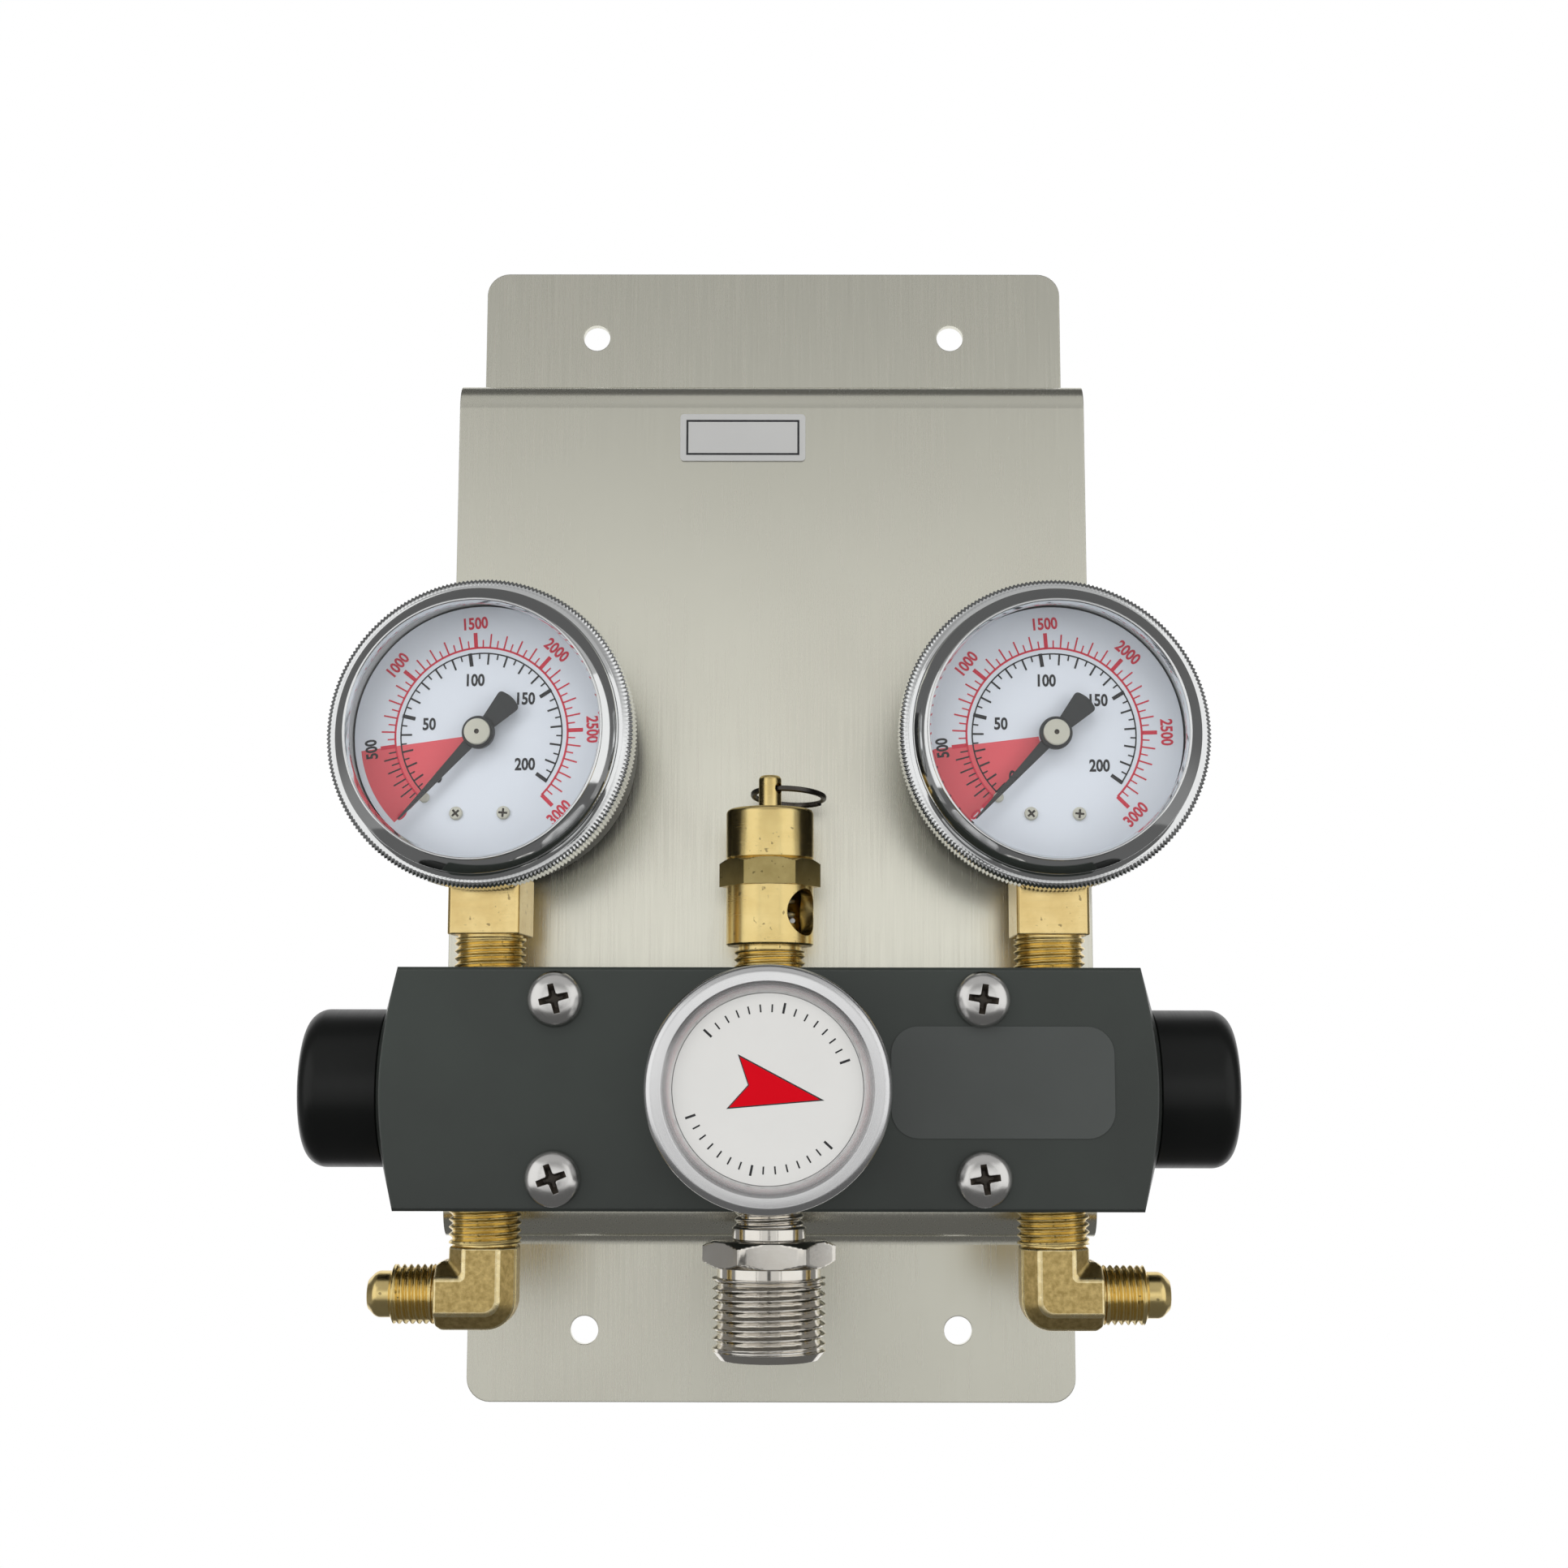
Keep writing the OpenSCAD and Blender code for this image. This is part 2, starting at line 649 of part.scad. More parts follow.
module relief_stem() {
  tip = relief_top + lift_h;
  r = lift_d / 2;
  color("goldenrod") difference() {
    turned_z() polygon([[0, lift_foot], [r, lift_foot], [r, tip - 0.6], [r - 0.6, tip], [0, tip]]);
    translate([0, -axis_d, ring_z]) rotate([0, 0, ring_turn]) rotate([0, 90, 0])
      cylinder(h = 2 * lift_d, d = 2 * ring_wire, center = true);
  }
}
module relief_disc() {
  color("goldenrod") hole_z(relief_floor + fixed_gap, lift_foot, 10);
}
module relief_spring() {
  color("gray") translate([0, -axis_d, lift_foot])
    coil(spring_top - lift_foot, relief_spring_d, 1.1, 8);
}
module pull_ring() {
  color("dimgray") translate([0, -axis_d, ring_z]) rotate([0, 0, ring_turn])
    rotate([-ring_droop, 0, 0]) translate([0, ring_mean_r, 0])
      seal_ring(ring_mean_r, ring_wire / 2);
}

// Inlet elbows: forged legs with bevels, pipe thread up, flare outward
flare_z = body_bottom - flare_drop;
leg_top = body_bottom - elbow_neck_h;
pipe_end = body_bottom + port_depth - fixed_gap;
filter_d = 8;
filter_h = 3;
module elbow_outline() {
  h = leg_w / 2;
  out_r = 5.6;
  in_r = 2;
  polygon(concat([[port_x - h, leg_top]],
    arc(port_x - h + out_r, flare_z - h + out_r, out_r, 180, 270, 8),
    [[leg_end, flare_z - h], [leg_end, flare_z + h]],
    arc(port_x + h + in_r, flare_z + h + in_r, in_r, 270, 180, 5), [[port_x + h, leg_top]]));
}
module upright_bevel(x, from, to) {
  w = leg_bevel * sqrt(2);
  for (y = [-1, 1])
    translate([x, y * leg_w / 2 - axis_d, (from + to) / 2]) rotate([0, 0, 45])
      cube([w, w, to - from], center = true);
}
module level_bevel(z, from, to) {
  w = leg_bevel * sqrt(2);
  for (y = [-1, 1])
    translate([(from + to) / 2, y * leg_w / 2 - axis_d, z]) rotate([45, 0, 0])
      cube([to - from, w, w], center = true);
}
module inlet_elbow(s) {
  h = leg_w / 2;
  nose_x = leg_end + flare_len;
  tip = nose_x + nose_len;
  color("goldenrod") side(s) difference() {
    union() {
      difference() {
        flat_y(axis_d - h, axis_d + h) elbow_outline();
        upright_bevel(port_x - h, flare_z - leg_w, leg_top + eps);
        upright_bevel(port_x + h, flare_z + h, leg_top + eps);
        level_bevel(flare_z - h, port_x - leg_w, leg_end + eps);
        level_bevel(flare_z + h, port_x + h, leg_end + eps);
      }
      hole_z(leg_top - eps, pipe_end, pipe_d, port_x);
      turned_x(flare_z) polygon([[0, leg_end - eps], [flare_d / 2, leg_end - eps],
        [flare_d / 2, nose_x - 0.6], [nose_d / 2, nose_x], [nose_d / 2, tip - 2.2],
        [nose_d / 2 - 1.4, tip - 0.8], [flare_bore / 2 + 0.3, tip], [0, tip]]);
    }
    hole_z(flare_z, pipe_end + eps, drill_d, port_x);
    hole_z(pipe_end - filter_h - 0.2, pipe_end + eps, filter_d + 2 * fixed_gap, port_x);
    hole_x(port_x, tip + eps, flare_bore, flare_z);
  }
}
module left_inlet_elbow() { inlet_elbow(-1); }
module right_inlet_elbow() { inlet_elbow(1); }
module inlet_filters() {
  color("peru") for (s = [-1, 1])
    hole_z(pipe_end - filter_h - 0.2, pipe_end - 0.2, filter_d, s * port_x);
}

// Outlet fitting
module outlet_fitting() {
  hex_z = body_bottom - outlet_neck_h;
  under_z = hex_z - outlet_hex_h;
  thread_z = under_z - 2;
  end_z = thread_z - outlet_len;
  tip_z = end_z - 1.6;
  undercut_r = outlet_d / 2 - 0.85;
  collar_h = 2.5;
  r = outlet_d / 2;
  color([0.84, 0.83, 0.8]) difference() {
    union() {
      hole_z(hex_z - eps, pipe_end, outlet_neck_d);
      hole_z(hex_z - eps, hex_z + collar_h, outlet_neck_d + 1);
      translate([0, -axis_d, 0]) cut_hexagon(outlet_hex, under_z, hex_z);
      turned_z() polygon([[0, tip_z], [r - 1.4, tip_z], [r, end_z], [r, thread_z],
        [undercut_r, thread_z], [undercut_r, under_z + eps], [0, under_z + eps]]);
    }
    hole_z(tip_z - eps, pipe_end + eps, outlet_bore);
  }
}

// Labels, left bare
module gas_label() {
  color("gainsboro") translate([plate_x, 0, plate_z]) flat_y(stand_off, stand_off + 0.5)
    polygon(rounded(plate_w, plate_h, 0.8));
}
module body_label() {
  x = screw_x / 2 + 3.6;
  top = axis_z + screw_z / 2 - screw_head_d / 2 - 0.15;
  color([0.3, 0.32, 0.31]) translate([x, 0, top - label_h / 2])
    flat_y(body_front, body_front + 0.2) polygon(rounded(label_w, label_h, 5));
}

// Gauges, in a frame at the dial's centre over the stem, with f the distance forward
module at_gauge(s) {
  translate([s * port_x, -axis_d, gauge_z]) rotate([0, 0, s < 0 ? left_turn : right_turn])
    children();
}
module spun() {
  rotate([90, 0, 0]) rotate_extrude() children();
}
module slab(from, to) {
  flat_y(from, to) children();
}
module disc(from, to, d) {
  translate([0, -from, 0]) rotate([90, 0, 0]) cylinder(h = to - from, d = d);
}
case_r = case_d / 2;
case_wall = 1.2;
case_back = -11;
case_front = 14.9;
lens_t = 2;
lens_f = case_front + 0.1;
lip_f = lens_f + lens_t + 0.05;
bezel_f = lip_f + 1.75;
bezel_back = 8;
dial_f = 10.2;
dial_t = 0.6;
front_plate_f = 7.4;
rear_plate_f = 2.4;
plate_t = 0.75;
neck_d = 11;
tube_r = case_r - tube_inset;
tube_f = -2;
tube_t = 2.4;
tube_wall = 0.4;
tube_half = 3.5;
tube_start = -78;
tube_sweep = 250;
tube_held = 30;
square_z = -case_r - 0.2;
stem_z = body_top + gauge_neck_h - gauge_z;
module tube_section(t) {
  r = t / 2;
  reach = tube_half - tube_t / 2;
  translate([tube_r, tube_f]) {
    square([t, 2 * reach], center = true);
    for (e = [-1, 1]) translate([0, e * reach]) circle(r = r);
  }
}
module tube_arc(t, from, sweep) {
  rotate([90, 0, 0]) rotate([0, 0, from]) rotate_extrude(angle = sweep) tube_section(t);
}
module gauge_socket(s) {
  block_top = -9;
  block_low = -case_r + 2.5;
  foot = body_top - port_depth + fixed_gap - gauge_z;
  color("goldenrod") at_gauge(s) difference() {
    union() {
      translate([-6, -rear_plate_f, block_low]) cube([12, rear_plate_f + 6, block_top - block_low]);
      translate([0, 0, square_z]) cylinder(h = block_low - square_z + eps, d = neck_d);
      translate([0, 0, (square_z + stem_z) / 2])
        cube([square_w, square_w, square_z - stem_z], center = true);
      translate([0, 0, foot]) cylinder(h = stem_z - foot, d = pipe_d);
    }
    tube_arc(tube_t, tube_start, tube_held);
    translate([0, 0, foot - eps]) cylinder(h = -tube_r - foot, d = 3);
    translate([0, -tube_f, -tube_r]) rotate([0, 90, 0]) cylinder(h = 5, d = 1.4);
    translate([0, -eps, -tube_r]) rotate([-90, 0, 0]) cylinder(h = eps - tube_f, d = 1.4);
  }
}
module left_gauge_socket() { gauge_socket(-1); }
module right_gauge_socket() { gauge_socket(1); }
module gauge_case(s) {
  color("dimgray") at_gauge(s) difference() {
    disc(case_back, case_front, case_d);
    disc(case_back + case_wall, case_front + eps, case_d - 2 * case_wall);
    translate([0, 0, -case_r - eps]) cylinder(h = 4, d = neck_d + 2 * fixed_gap);
  }
}
module left_gauge_case() { gauge_case(-1); }
module right_gauge_case() { gauge_case(1); }
module gauge_bezel(s) {
  bore_r = case_r + fixed_gap;
  grip_r = bezel_d / 2;
  ring_r = bezel_front_d / 2;
  cone_r = bore_r + 0.7;
  grip_f = bezel_back + 5.5;
  color("silver") at_gauge(s) spun() polygon([[bore_r, bezel_back], [grip_r, bezel_back],
    [grip_r, grip_f - 0.4], [grip_r - 0.4, grip_f], [ring_r, grip_f], [cone_r, grip_f + 0.6],
    [cone_r, bezel_f - 2.1], [window_d / 2 + 0.9, bezel_f], [window_d / 2 + 0.5, bezel_f],
    [window_d / 2, bezel_f - 0.6], [window_d / 2, lip_f], [bore_r, lip_f]]);
}
module left_gauge_bezel() { gauge_bezel(-1); }
module right_gauge_bezel() { gauge_bezel(1); }
module gauge_lens(s) {
  color([0.8, 0.9, 1, 0.3]) at_gauge(s) disc(lens_f, lens_f + lens_t, case_d - 0.4);
}
module left_gauge_lens() { gauge_lens(-1); }
module right_gauge_lens() { gauge_lens(1); }
module gauge_dial(s) {
  color("white") at_gauge(s) difference() {
    disc(dial_f, dial_f + dial_t, case_d - 2 * case_wall - 1);
    disc(dial_f - eps, dial_f + dial_t + eps, 3.6);
  }
}
module left_gauge_dial() { gauge_dial(-1); }
module right_gauge_dial() { gauge_dial(1); }

// Pointer and pinion turn together, and the sector drives them
zero_angle = 227;
spindle_d = 2;
blade_f = dial_f + dial_t + 1.8;
hub_d = 6.3;
module pointer(s) {
  tip_r = window_d / 2 - 1.6;
  tail_r = 9;
  tail_w = 5;
  color([0.1, 0.1, 0.1]) at_gauge(s) difference() {
    union() {
      slab(blade_f, blade_f + 0.4) rotate(zero_angle) polygon([[tip_r, 0.15], [2, 0.9], [-2, 0.9],
        [-tail_r, tail_w / 2], [-tail_r - 0.5, 0], [-tail_r, -tail_w / 2], [-2, -0.9], [2, -0.9],
        [tip_r, -0.15]]);
      disc(blade_f - 0.2, blade_f + 1.2, hub_d);
      disc(blade_f, blade_f + 1.8, hub_d - 1.5);
    }
    disc(blade_f - eps, blade_f + 0.8, spindle_d + 2 * fixed_gap);
  }
}
module left_pointer() { pointer(-1); }
module right_pointer() { pointer(1); }
pinion_teeth = 10;
sector_teeth = 60;
gear_module = case_d / 106;
pinion_r = gear_module * pinion_teeth / 2;
sector_r = gear_module * sector_teeth / 2;
pivot_z = pinion_r + sector_r;
addendum = 0.9 * gear_module;
dedendum = 1.2 * gear_module;
function tooth(r, at, root_half, tip_half) = [
  for (p = [[-1, -root_half], [1, -tip_half], [1, tip_half], [-1, root_half]])
    let (q = p[0] < 0 ? r - dedendum : r + addendum, a = at + p[1]) [q * cos(a), q * sin(a)]];
module pinion(s) {
  step = 360 / pinion_teeth;
  color("goldenrod") at_gauge(s) {
    disc(rear_plate_f - 0.4, blade_f + 0.7, spindle_d);
    slab(4.2, 6.6) polygon([for (k = [0:pinion_teeth - 1])
      each tooth(pinion_r, 90 + (k + 0.5) * step, 11, 3.6)]);
  }
}
module left_pinion() { pinion(-1); }
module right_pinion() { pinion(1); }
module sector(s) {
  step = 360 / sector_teeth;
  color("goldenrod") at_gauge(s) translate([0, 0, pivot_z]) difference() {
    union() {
      slab(4.9, 5.9) polygon(concat([[0, 2.6], [2.6, 0]], [for (k = [-1:9])
        each tooth(sector_r, -90 - k * step, -1.9, -0.55)], [[-2.6, 0]]));
      disc(4.4, 6.4, 5.2);
      disc(rear_plate_f + 0.1, front_plate_f + plate_t - 0.1, spindle_d);
    }
    translate([-3.2, 0, -7.4]) disc(4, 7, 1.2);
  }
}
module left_sector() { sector(-1); }
module right_sector() { sector(1); }
module movement_frame(s) {
  top = pivot_z + 4;
  low = -tube_r;
  half_w = 7;
  boss_z = low + 2.5;
  color("goldenrod") at_gauge(s) difference() {
    union() {
      for (f = [rear_plate_f, front_plate_f])
        slab(f, f + plate_t) polygon([[-half_w, low], [half_w + 1, low], [half_w, top], [-half_w, top]]);
      for (x = [-1, 1], z = [low + 7, top - 1.8])
        translate([x * (half_w - 1.8), 0, z]) disc(rear_plate_f, front_plate_f + plate_t, 3);
      for (x = [-3.5, 5.8])
        translate([x, 0, boss_z]) disc(front_plate_f, dial_f, 3);
    }
    disc(rear_plate_f - eps, front_plate_f + 2, spindle_d + 2 * run_gap);
    translate([0, 0, pivot_z]) disc(rear_plate_f - eps, front_plate_f + 2, spindle_d + 2 * run_gap);
  }
}
module left_movement_frame() { movement_frame(-1); }
module right_movement_frame() { movement_frame(1); }
module bourdon_tube(s) {
  color("goldenrod") at_gauge(s) difference() {
    tube_arc(tube_t, tube_start, tube_sweep);
    tube_arc(tube_t - 2 * tube_wall, tube_start - 1, tube_sweep - 5);
  }
}
module left_bourdon_tube() { bourdon_tube(-1); }
module right_bourdon_tube() { bourdon_tube(1); }

bracket();
manifold_body();
body_screws();
body_nuts();
left_end_cap();
right_end_cap();
cap_seals();
seat_nozzles();
stem_seals();
left_piston();
right_piston();
left_piston_seal();
right_piston_seal();
left_seat_plug();
right_seat_plug();
left_main_spring();
right_main_spring();
left_bias_spring();
right_bias_spring();
left_spring_cup();
right_spring_cup();
priority_knob();
knob_dial();
knob_set_screw();
selector_shaft();
selector_bush();
shaft_seal();
relief_body();
relief_cap();
relief_stem();
relief_disc();
relief_spring();
pull_ring();
left_inlet_elbow();
right_inlet_elbow();
inlet_filters();
outlet_fitting();
gas_label();
body_label();
left_gauge_socket();
right_gauge_socket();
left_gauge_case();
right_gauge_case();
left_gauge_bezel();
right_gauge_bezel();
left_gauge_lens();
right_gauge_lens();
left_gauge_dial();
right_gauge_dial();
left_pointer();
right_pointer();
left_pinion();
right_pinion();
left_sector();
right_sector();
left_movement_frame();
right_movement_frame();
left_bourdon_tube();
right_bourdon_tube();
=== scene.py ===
"""Looks of the gas manifold panel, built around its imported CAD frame.

Metres in Blender, millimetres in the profiles. X is right, Y goes into the wall, Z is up.
"""
import json
import math

import bmesh
import bpy
from mathutils import Matrix, Vector


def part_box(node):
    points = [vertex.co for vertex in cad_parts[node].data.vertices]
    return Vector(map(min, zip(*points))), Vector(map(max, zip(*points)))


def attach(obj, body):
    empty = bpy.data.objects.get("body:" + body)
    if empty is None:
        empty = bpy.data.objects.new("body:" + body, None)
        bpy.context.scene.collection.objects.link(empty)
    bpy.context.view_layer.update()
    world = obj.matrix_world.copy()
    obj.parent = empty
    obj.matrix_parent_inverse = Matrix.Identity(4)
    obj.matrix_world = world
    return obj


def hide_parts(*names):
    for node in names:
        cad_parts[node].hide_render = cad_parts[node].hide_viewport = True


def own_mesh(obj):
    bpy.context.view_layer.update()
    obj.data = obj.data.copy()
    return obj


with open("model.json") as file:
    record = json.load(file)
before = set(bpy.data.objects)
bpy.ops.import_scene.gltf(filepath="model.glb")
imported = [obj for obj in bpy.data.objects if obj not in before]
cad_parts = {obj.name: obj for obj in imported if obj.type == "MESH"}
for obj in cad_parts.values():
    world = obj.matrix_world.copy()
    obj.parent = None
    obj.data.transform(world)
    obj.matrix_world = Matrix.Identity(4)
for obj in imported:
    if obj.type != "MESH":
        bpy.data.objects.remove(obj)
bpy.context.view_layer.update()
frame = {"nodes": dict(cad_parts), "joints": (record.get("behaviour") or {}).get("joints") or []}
MM = 0.001
TAU = 2 * math.pi
UP = Vector((0, 0, 1))
SIDES = {"left": -1, "right": 1}
# Pitches of the quarter inch pipe, 7/16 flare, half inch pipe and M5 threads
PIPE_PITCH, FLARE_PITCH, OUTLET_PITCH, SCREW_PITCH = 1.411, 1.27, 1.814, 0.8
joints = {joint["name"]: joint for joint in frame["joints"]}
nodes = frame["nodes"]


def box_mm(node):
    """Lowest and highest corner of a CAD node in millimetres."""
    low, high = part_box(node)
    return low / MM, high / MM


# Places, all read from the frame
knob_low, knob_high = box_mm("priority_knob")
axis_z = (knob_low.z + knob_high.z) / 2
body_low, body_high = box_mm("manifold_body")
axis_d = -(body_low.y + body_high.y) / 2
body_front = -body_low.y
panel_front = -body_high.y


# Shader nodes
def add_node(tree, kind, inputs=None, **settings):
    """A shader node with these settings. Its inputs are linked to sockets or set to values."""
    node = tree.nodes.new("ShaderNode" + kind)
    for key, value in settings.items():
        setattr(node, key, value)
    for key, value in (inputs or {}).items():
        if isinstance(value, bpy.types.NodeSocket):
            tree.links.new(value, node.inputs[key])
        else:
            node.inputs[key].default_value = value
    return node


class Finish:
    """A Principled material whose colour, gloss and bump come from procedural nodes."""

    def __init__(self, name, **sockets):
        self.material = bpy.data.materials.new(name)
        self.material.use_nodes = True
        self.tree = self.material.node_tree
        self.shader = self.tree.nodes["Principled BSDF"]
        for socket, value in sockets.items():
            self.shader.inputs[socket.replace("_", " ")].default_value = value

    def add(self, kind, inputs=None, **settings):
        return add_node(self.tree, kind, inputs, **settings)

    def feed(self, socket, value):
        self.tree.links.new(value, self.shader.inputs[socket])

    def place(self, turned=False):
        """Object coordinates, or radius and height round the object's own axis."""
        point = self.add("TexCoord").outputs["Object"]
        if not turned:
            return point
        flat = self.add("VectorMath", {0: point, 1: (1, 1, 0)}, operation="MULTIPLY")
        radius = self.add("VectorMath", {0: flat.outputs[0]}, operation="LENGTH")
        height = self.add("SeparateXYZ", {0: point}).outputs["Z"]
        return self.add("CombineXYZ", {"X": radius.outputs["Value"], "Z": height}).outputs[0]

    def noise(self, point, scale, detail=3.0):
        """Noise of one scale, or of a scale for each axis."""
        scales = scale if isinstance(scale, tuple) else (scale,) * 3
        mapped = self.add("Mapping", {"Vector": point, "Scale": scales})
        return self.add("TexNoise", {"Vector": mapped.outputs[0], "Scale": 1.0, "Detail": detail,
                                     "Roughness": 0.55}).outputs["Fac"]

    def spread(self, value, low, high, start=0.25, end=0.75):
        """A value from start to end, stretched over low to high."""
        return self.add("MapRange", {"Value": value, "From Min": start, "From Max": end,
                                     "To Min": low, "To Max": high}).outputs[0]

    def mix(self, factor, first, second):
        return self.add("Mix", {0: factor, 6: first, 7: second}, data_type="RGBA").outputs[2]


def rgb(red, green, blue):
    return (red, green, blue, 1.0)


def make_finish(name, color, patch, roughness, grain=900, gloss_spread=0.06, bump=0.1, bump_size=0.02,
                patch_scale=30, edge=0.15, edge_tone=None, turned=False, pits=None, lining=None, **sockets):
    """Patchy colour, grain in gloss and bump, rounded edges, and a broken band of another tone along the
    edges where one is given; a lighter band is partly wear and partly painted highlight.
    A lining is (middle, colour) of a hollow piece whose inside has another colour."""
    finish = Finish(name, **sockets)
    add, feed, place, noise, spread, mix = (finish.add, finish.feed, finish.place, finish.noise,
                                            finish.spread, finish.mix)
    fine = noise(place(turned), grain)
    coarse = noise(place(), patch_scale, 5.0)
    color_out = mix(spread(coarse, 0.0, 1.0, 0.35, 0.65), rgb(*color), rgb(*patch))
    rounded = add("Bevel", {"Radius": edge * MM}, samples=4).outputs[0]
    true_normal = add("NewGeometry").outputs["Normal"] if edge_tone or lining else None
    # A broken band along the edges in another tone; a lighter band, as on the anodised body, is partly wear
    # and partly painted highlight
    if edge_tone:
        facing = add("VectorMath", {0: rounded, 1: true_normal}, operation="DOT_PRODUCT")
        edge_band = spread(facing.outputs["Value"], 1.0, 0.0, 0.84, 0.998)
        broken = add("Math", {0: edge_band, 1: spread(fine, 0.35, 1.0)}, operation="MULTIPLY")
        color_out = mix(broken.outputs[0], color_out, rgb(*edge_tone))
    if pits:
        spots = noise(place(), pits, 1.0)
        dark = rgb(*(0.25 * channel for channel in color))
        color_out = mix(spread(spots, 0.0, 0.7, 0.69, 0.75), color_out, dark)
    if lining:
        middle, inner_color = lining
        out = add("VectorMath", {0: place(), 1: middle}, operation="SUBTRACT").outputs[0]
        away = add("VectorMath", {0: out, 1: true_normal}, operation="DOT_PRODUCT").outputs["Value"]
        color_out = mix(spread(away, 1.0, 0.0, -0.001, 0.0), color_out, rgb(*inner_color))
    if "Anisotropic" in sockets:
        feed("Tangent", add("Tangent", direction_type="RADIAL", axis="Z").outputs[0])
    feed("Base Color", color_out)
    both = add("Math", {0: fine, 1: coarse}, operation="ADD").outputs[0]
    smoothest, roughest = roughness - gloss_spread, roughness + gloss_spread
    feed("Roughness", spread(both, smoothest, roughest, 0.6, 1.4))
    relief = add("Bump", {"Strength": bump, "Distance": bump_size * MM, "Height": fine, "Normal": rounded})
    feed("Normal", relief.outputs[0])
    return finish.material


def make_ink(name, color, roughness=0.5, fade=0.5, gloss=0.3):
    """Printed ink, with a little unevenness in its cover."""
    finish = Finish(name, Roughness=roughness, Specular_IOR_Level=gloss)
    cover = finish.noise(finish.place(), 2500, 2.0)
    pale = rgb(*(channel * 0.8 + 0.05 for channel in color))
    finish.feed("Base Color", finish.mix(finish.spread(cover, 0.0, fade, 0.4, 0.8), rgb(*color), pale))
    return finish.material


def bare_material(name):
    """A material with its empty node tree."""
    material = bpy.data.materials.new(name)
    material.use_nodes = True
    material.node_tree.nodes.clear()
    return material, material.node_tree


def make_glass(name):
    """A clear window: see-through, with the gloss of glass by its angle."""
    material, tree = bare_material(name)
    facing = add_node(tree, "LayerWeight", {"Blend": 0.5}).outputs["Facing"]
    power = add_node(tree, "Math", {0: facing, 1: 5.0}, operation="POWER").outputs[0]
    share = add_node(tree, "MapRange", {"Value": power, "To Min": 0.025}).outputs[0]
    clear = add_node(tree, "BsdfTransparent", {"Color": rgb(0.995, 0.998, 1.0)}).outputs[0]
    gloss = add_node(tree, "BsdfGlossy", {"Roughness": 0.02}).outputs[0]
    mix = add_node(tree, "MixShader", {0: share, 1: clear, 2: gloss})
    add_node(tree, "OutputMaterial", {"Surface": mix.outputs[0]})
    return material


# Finishes, with what the forged pieces and the printed faces share
forging = dict(grain=1700, gloss_spread=0.08, patch_scale=900, edge=0.3, Metallic=1.0)
print_face = dict(grain=3000, bump=0.03, bump_size=0.01, patch_scale=60, edge=0.1)
stainless = make_finish(
    "brushed_stainless", (0.78, 0.768, 0.665), (0.74, 0.725, 0.625), 0.26, grain=(2600, 2600, 45),
    bump=0.13, bump_size=0.025, patch_scale=16, edge=0.35, Metallic=1.0)
# Black anodised body; its lighter edge band is partly wear and partly painted highlight
anodised = make_finish(
    "black_anodised", (0.033, 0.04, 0.035), (0.027, 0.031, 0.028), 0.36, grain=5000, bump_size=0.012,
    patch_scale=22, edge=0.5, edge_tone=(0.1, 0.105, 0.1), gloss_spread=0.05, Metallic=0.25)
cap_black = make_finish(
    "cap_black", (0.003, 0.0036, 0.0032), (0.0045, 0.005, 0.0046), 0.33, grain=2500, bump=0.06,
    turned=True, Specular_IOR_Level=0.27)
zinc = make_finish(
    "bright_zinc", (0.76, 0.75, 0.73), (0.68, 0.67, 0.65), 0.22, grain=1800, turned=True, Metallic=1.0)
aluminium = make_finish(
    "turned_aluminium", (0.8, 0.8, 0.8), (0.74, 0.74, 0.745), 0.25, grain=5200, gloss_spread=0.08,
    bump=0.16, turned=True, edge=0.12, Metallic=1.0, Anisotropic=0.6)
dial_white = make_finish("dial_white", (0.71, 0.75, 0.81), (0.69, 0.73, 0.79), 0.42, **print_face)
knob_white = make_finish("knob_white", (0.665, 0.66, 0.64), (0.645, 0.64, 0.62), 0.35, **print_face)
steel = make_finish("turned_steel", (0.55, 0.55, 0.54), (0.48, 0.48, 0.47), 0.3, grain=2500, Metallic=1.0)
brass = make_finish(
    "machined_brass", (0.87, 0.69, 0.31), (0.8, 0.61, 0.25), 0.24, grain=2600, bump=0.16, turned=True,
    patch_scale=140, edge=0.2, pits=900, Metallic=1.0)
# Milled brass, with a darker band along its edges
milled_brass = make_finish(
    "milled_brass", (0.86, 0.67, 0.31), (0.76, 0.56, 0.23), 0.2, grain=(160, 160, 3600),
    gloss_spread=0.07, bump=0.3, bump_size=0.03, patch_scale=170, edge=0.3, pits=900,
    edge_tone=(0.6, 0.42, 0.17), Metallic=1.0)
forged_brass = make_finish(
    "forged_brass", (0.72, 0.54, 0.22), (0.5, 0.36, 0.13), 0.37, bump=0.6, bump_size=0.07, **forging)
# Brighter brass for the elbows' rounded edges: partly rubbed wear, partly painted highlight
rubbed_and_highlit_brass = make_finish(
    "rubbed_and_highlit_brass", (0.95, 0.81, 0.47), (0.84, 0.67, 0.33), 0.3, bump=0.4, bump_size=0.05, **forging)
drawn_brass = make_finish(
    "drawn_brass", (0.5, 0.4, 0.17), (0.42, 0.33, 0.13), 0.38, grain=(3200, 3200, 160), bump=0.2,
    bump_size=0.03, patch_scale=260, edge=0.2, pits=900, Metallic=1.0)
inner_brass = make_finish(
    "inner_brass", (0.7, 0.52, 0.22), (0.62, 0.45, 0.18), 0.3, grain=2000, Metallic=1.0)
nickel = make_finish(
    "bright_nickel", (0.8, 0.77, 0.71), (0.76, 0.72, 0.65), 0.11, grain=2200, gloss_spread=0.04,
    turned=True, patch_scale=160, edge=0.2, Metallic=1.0)
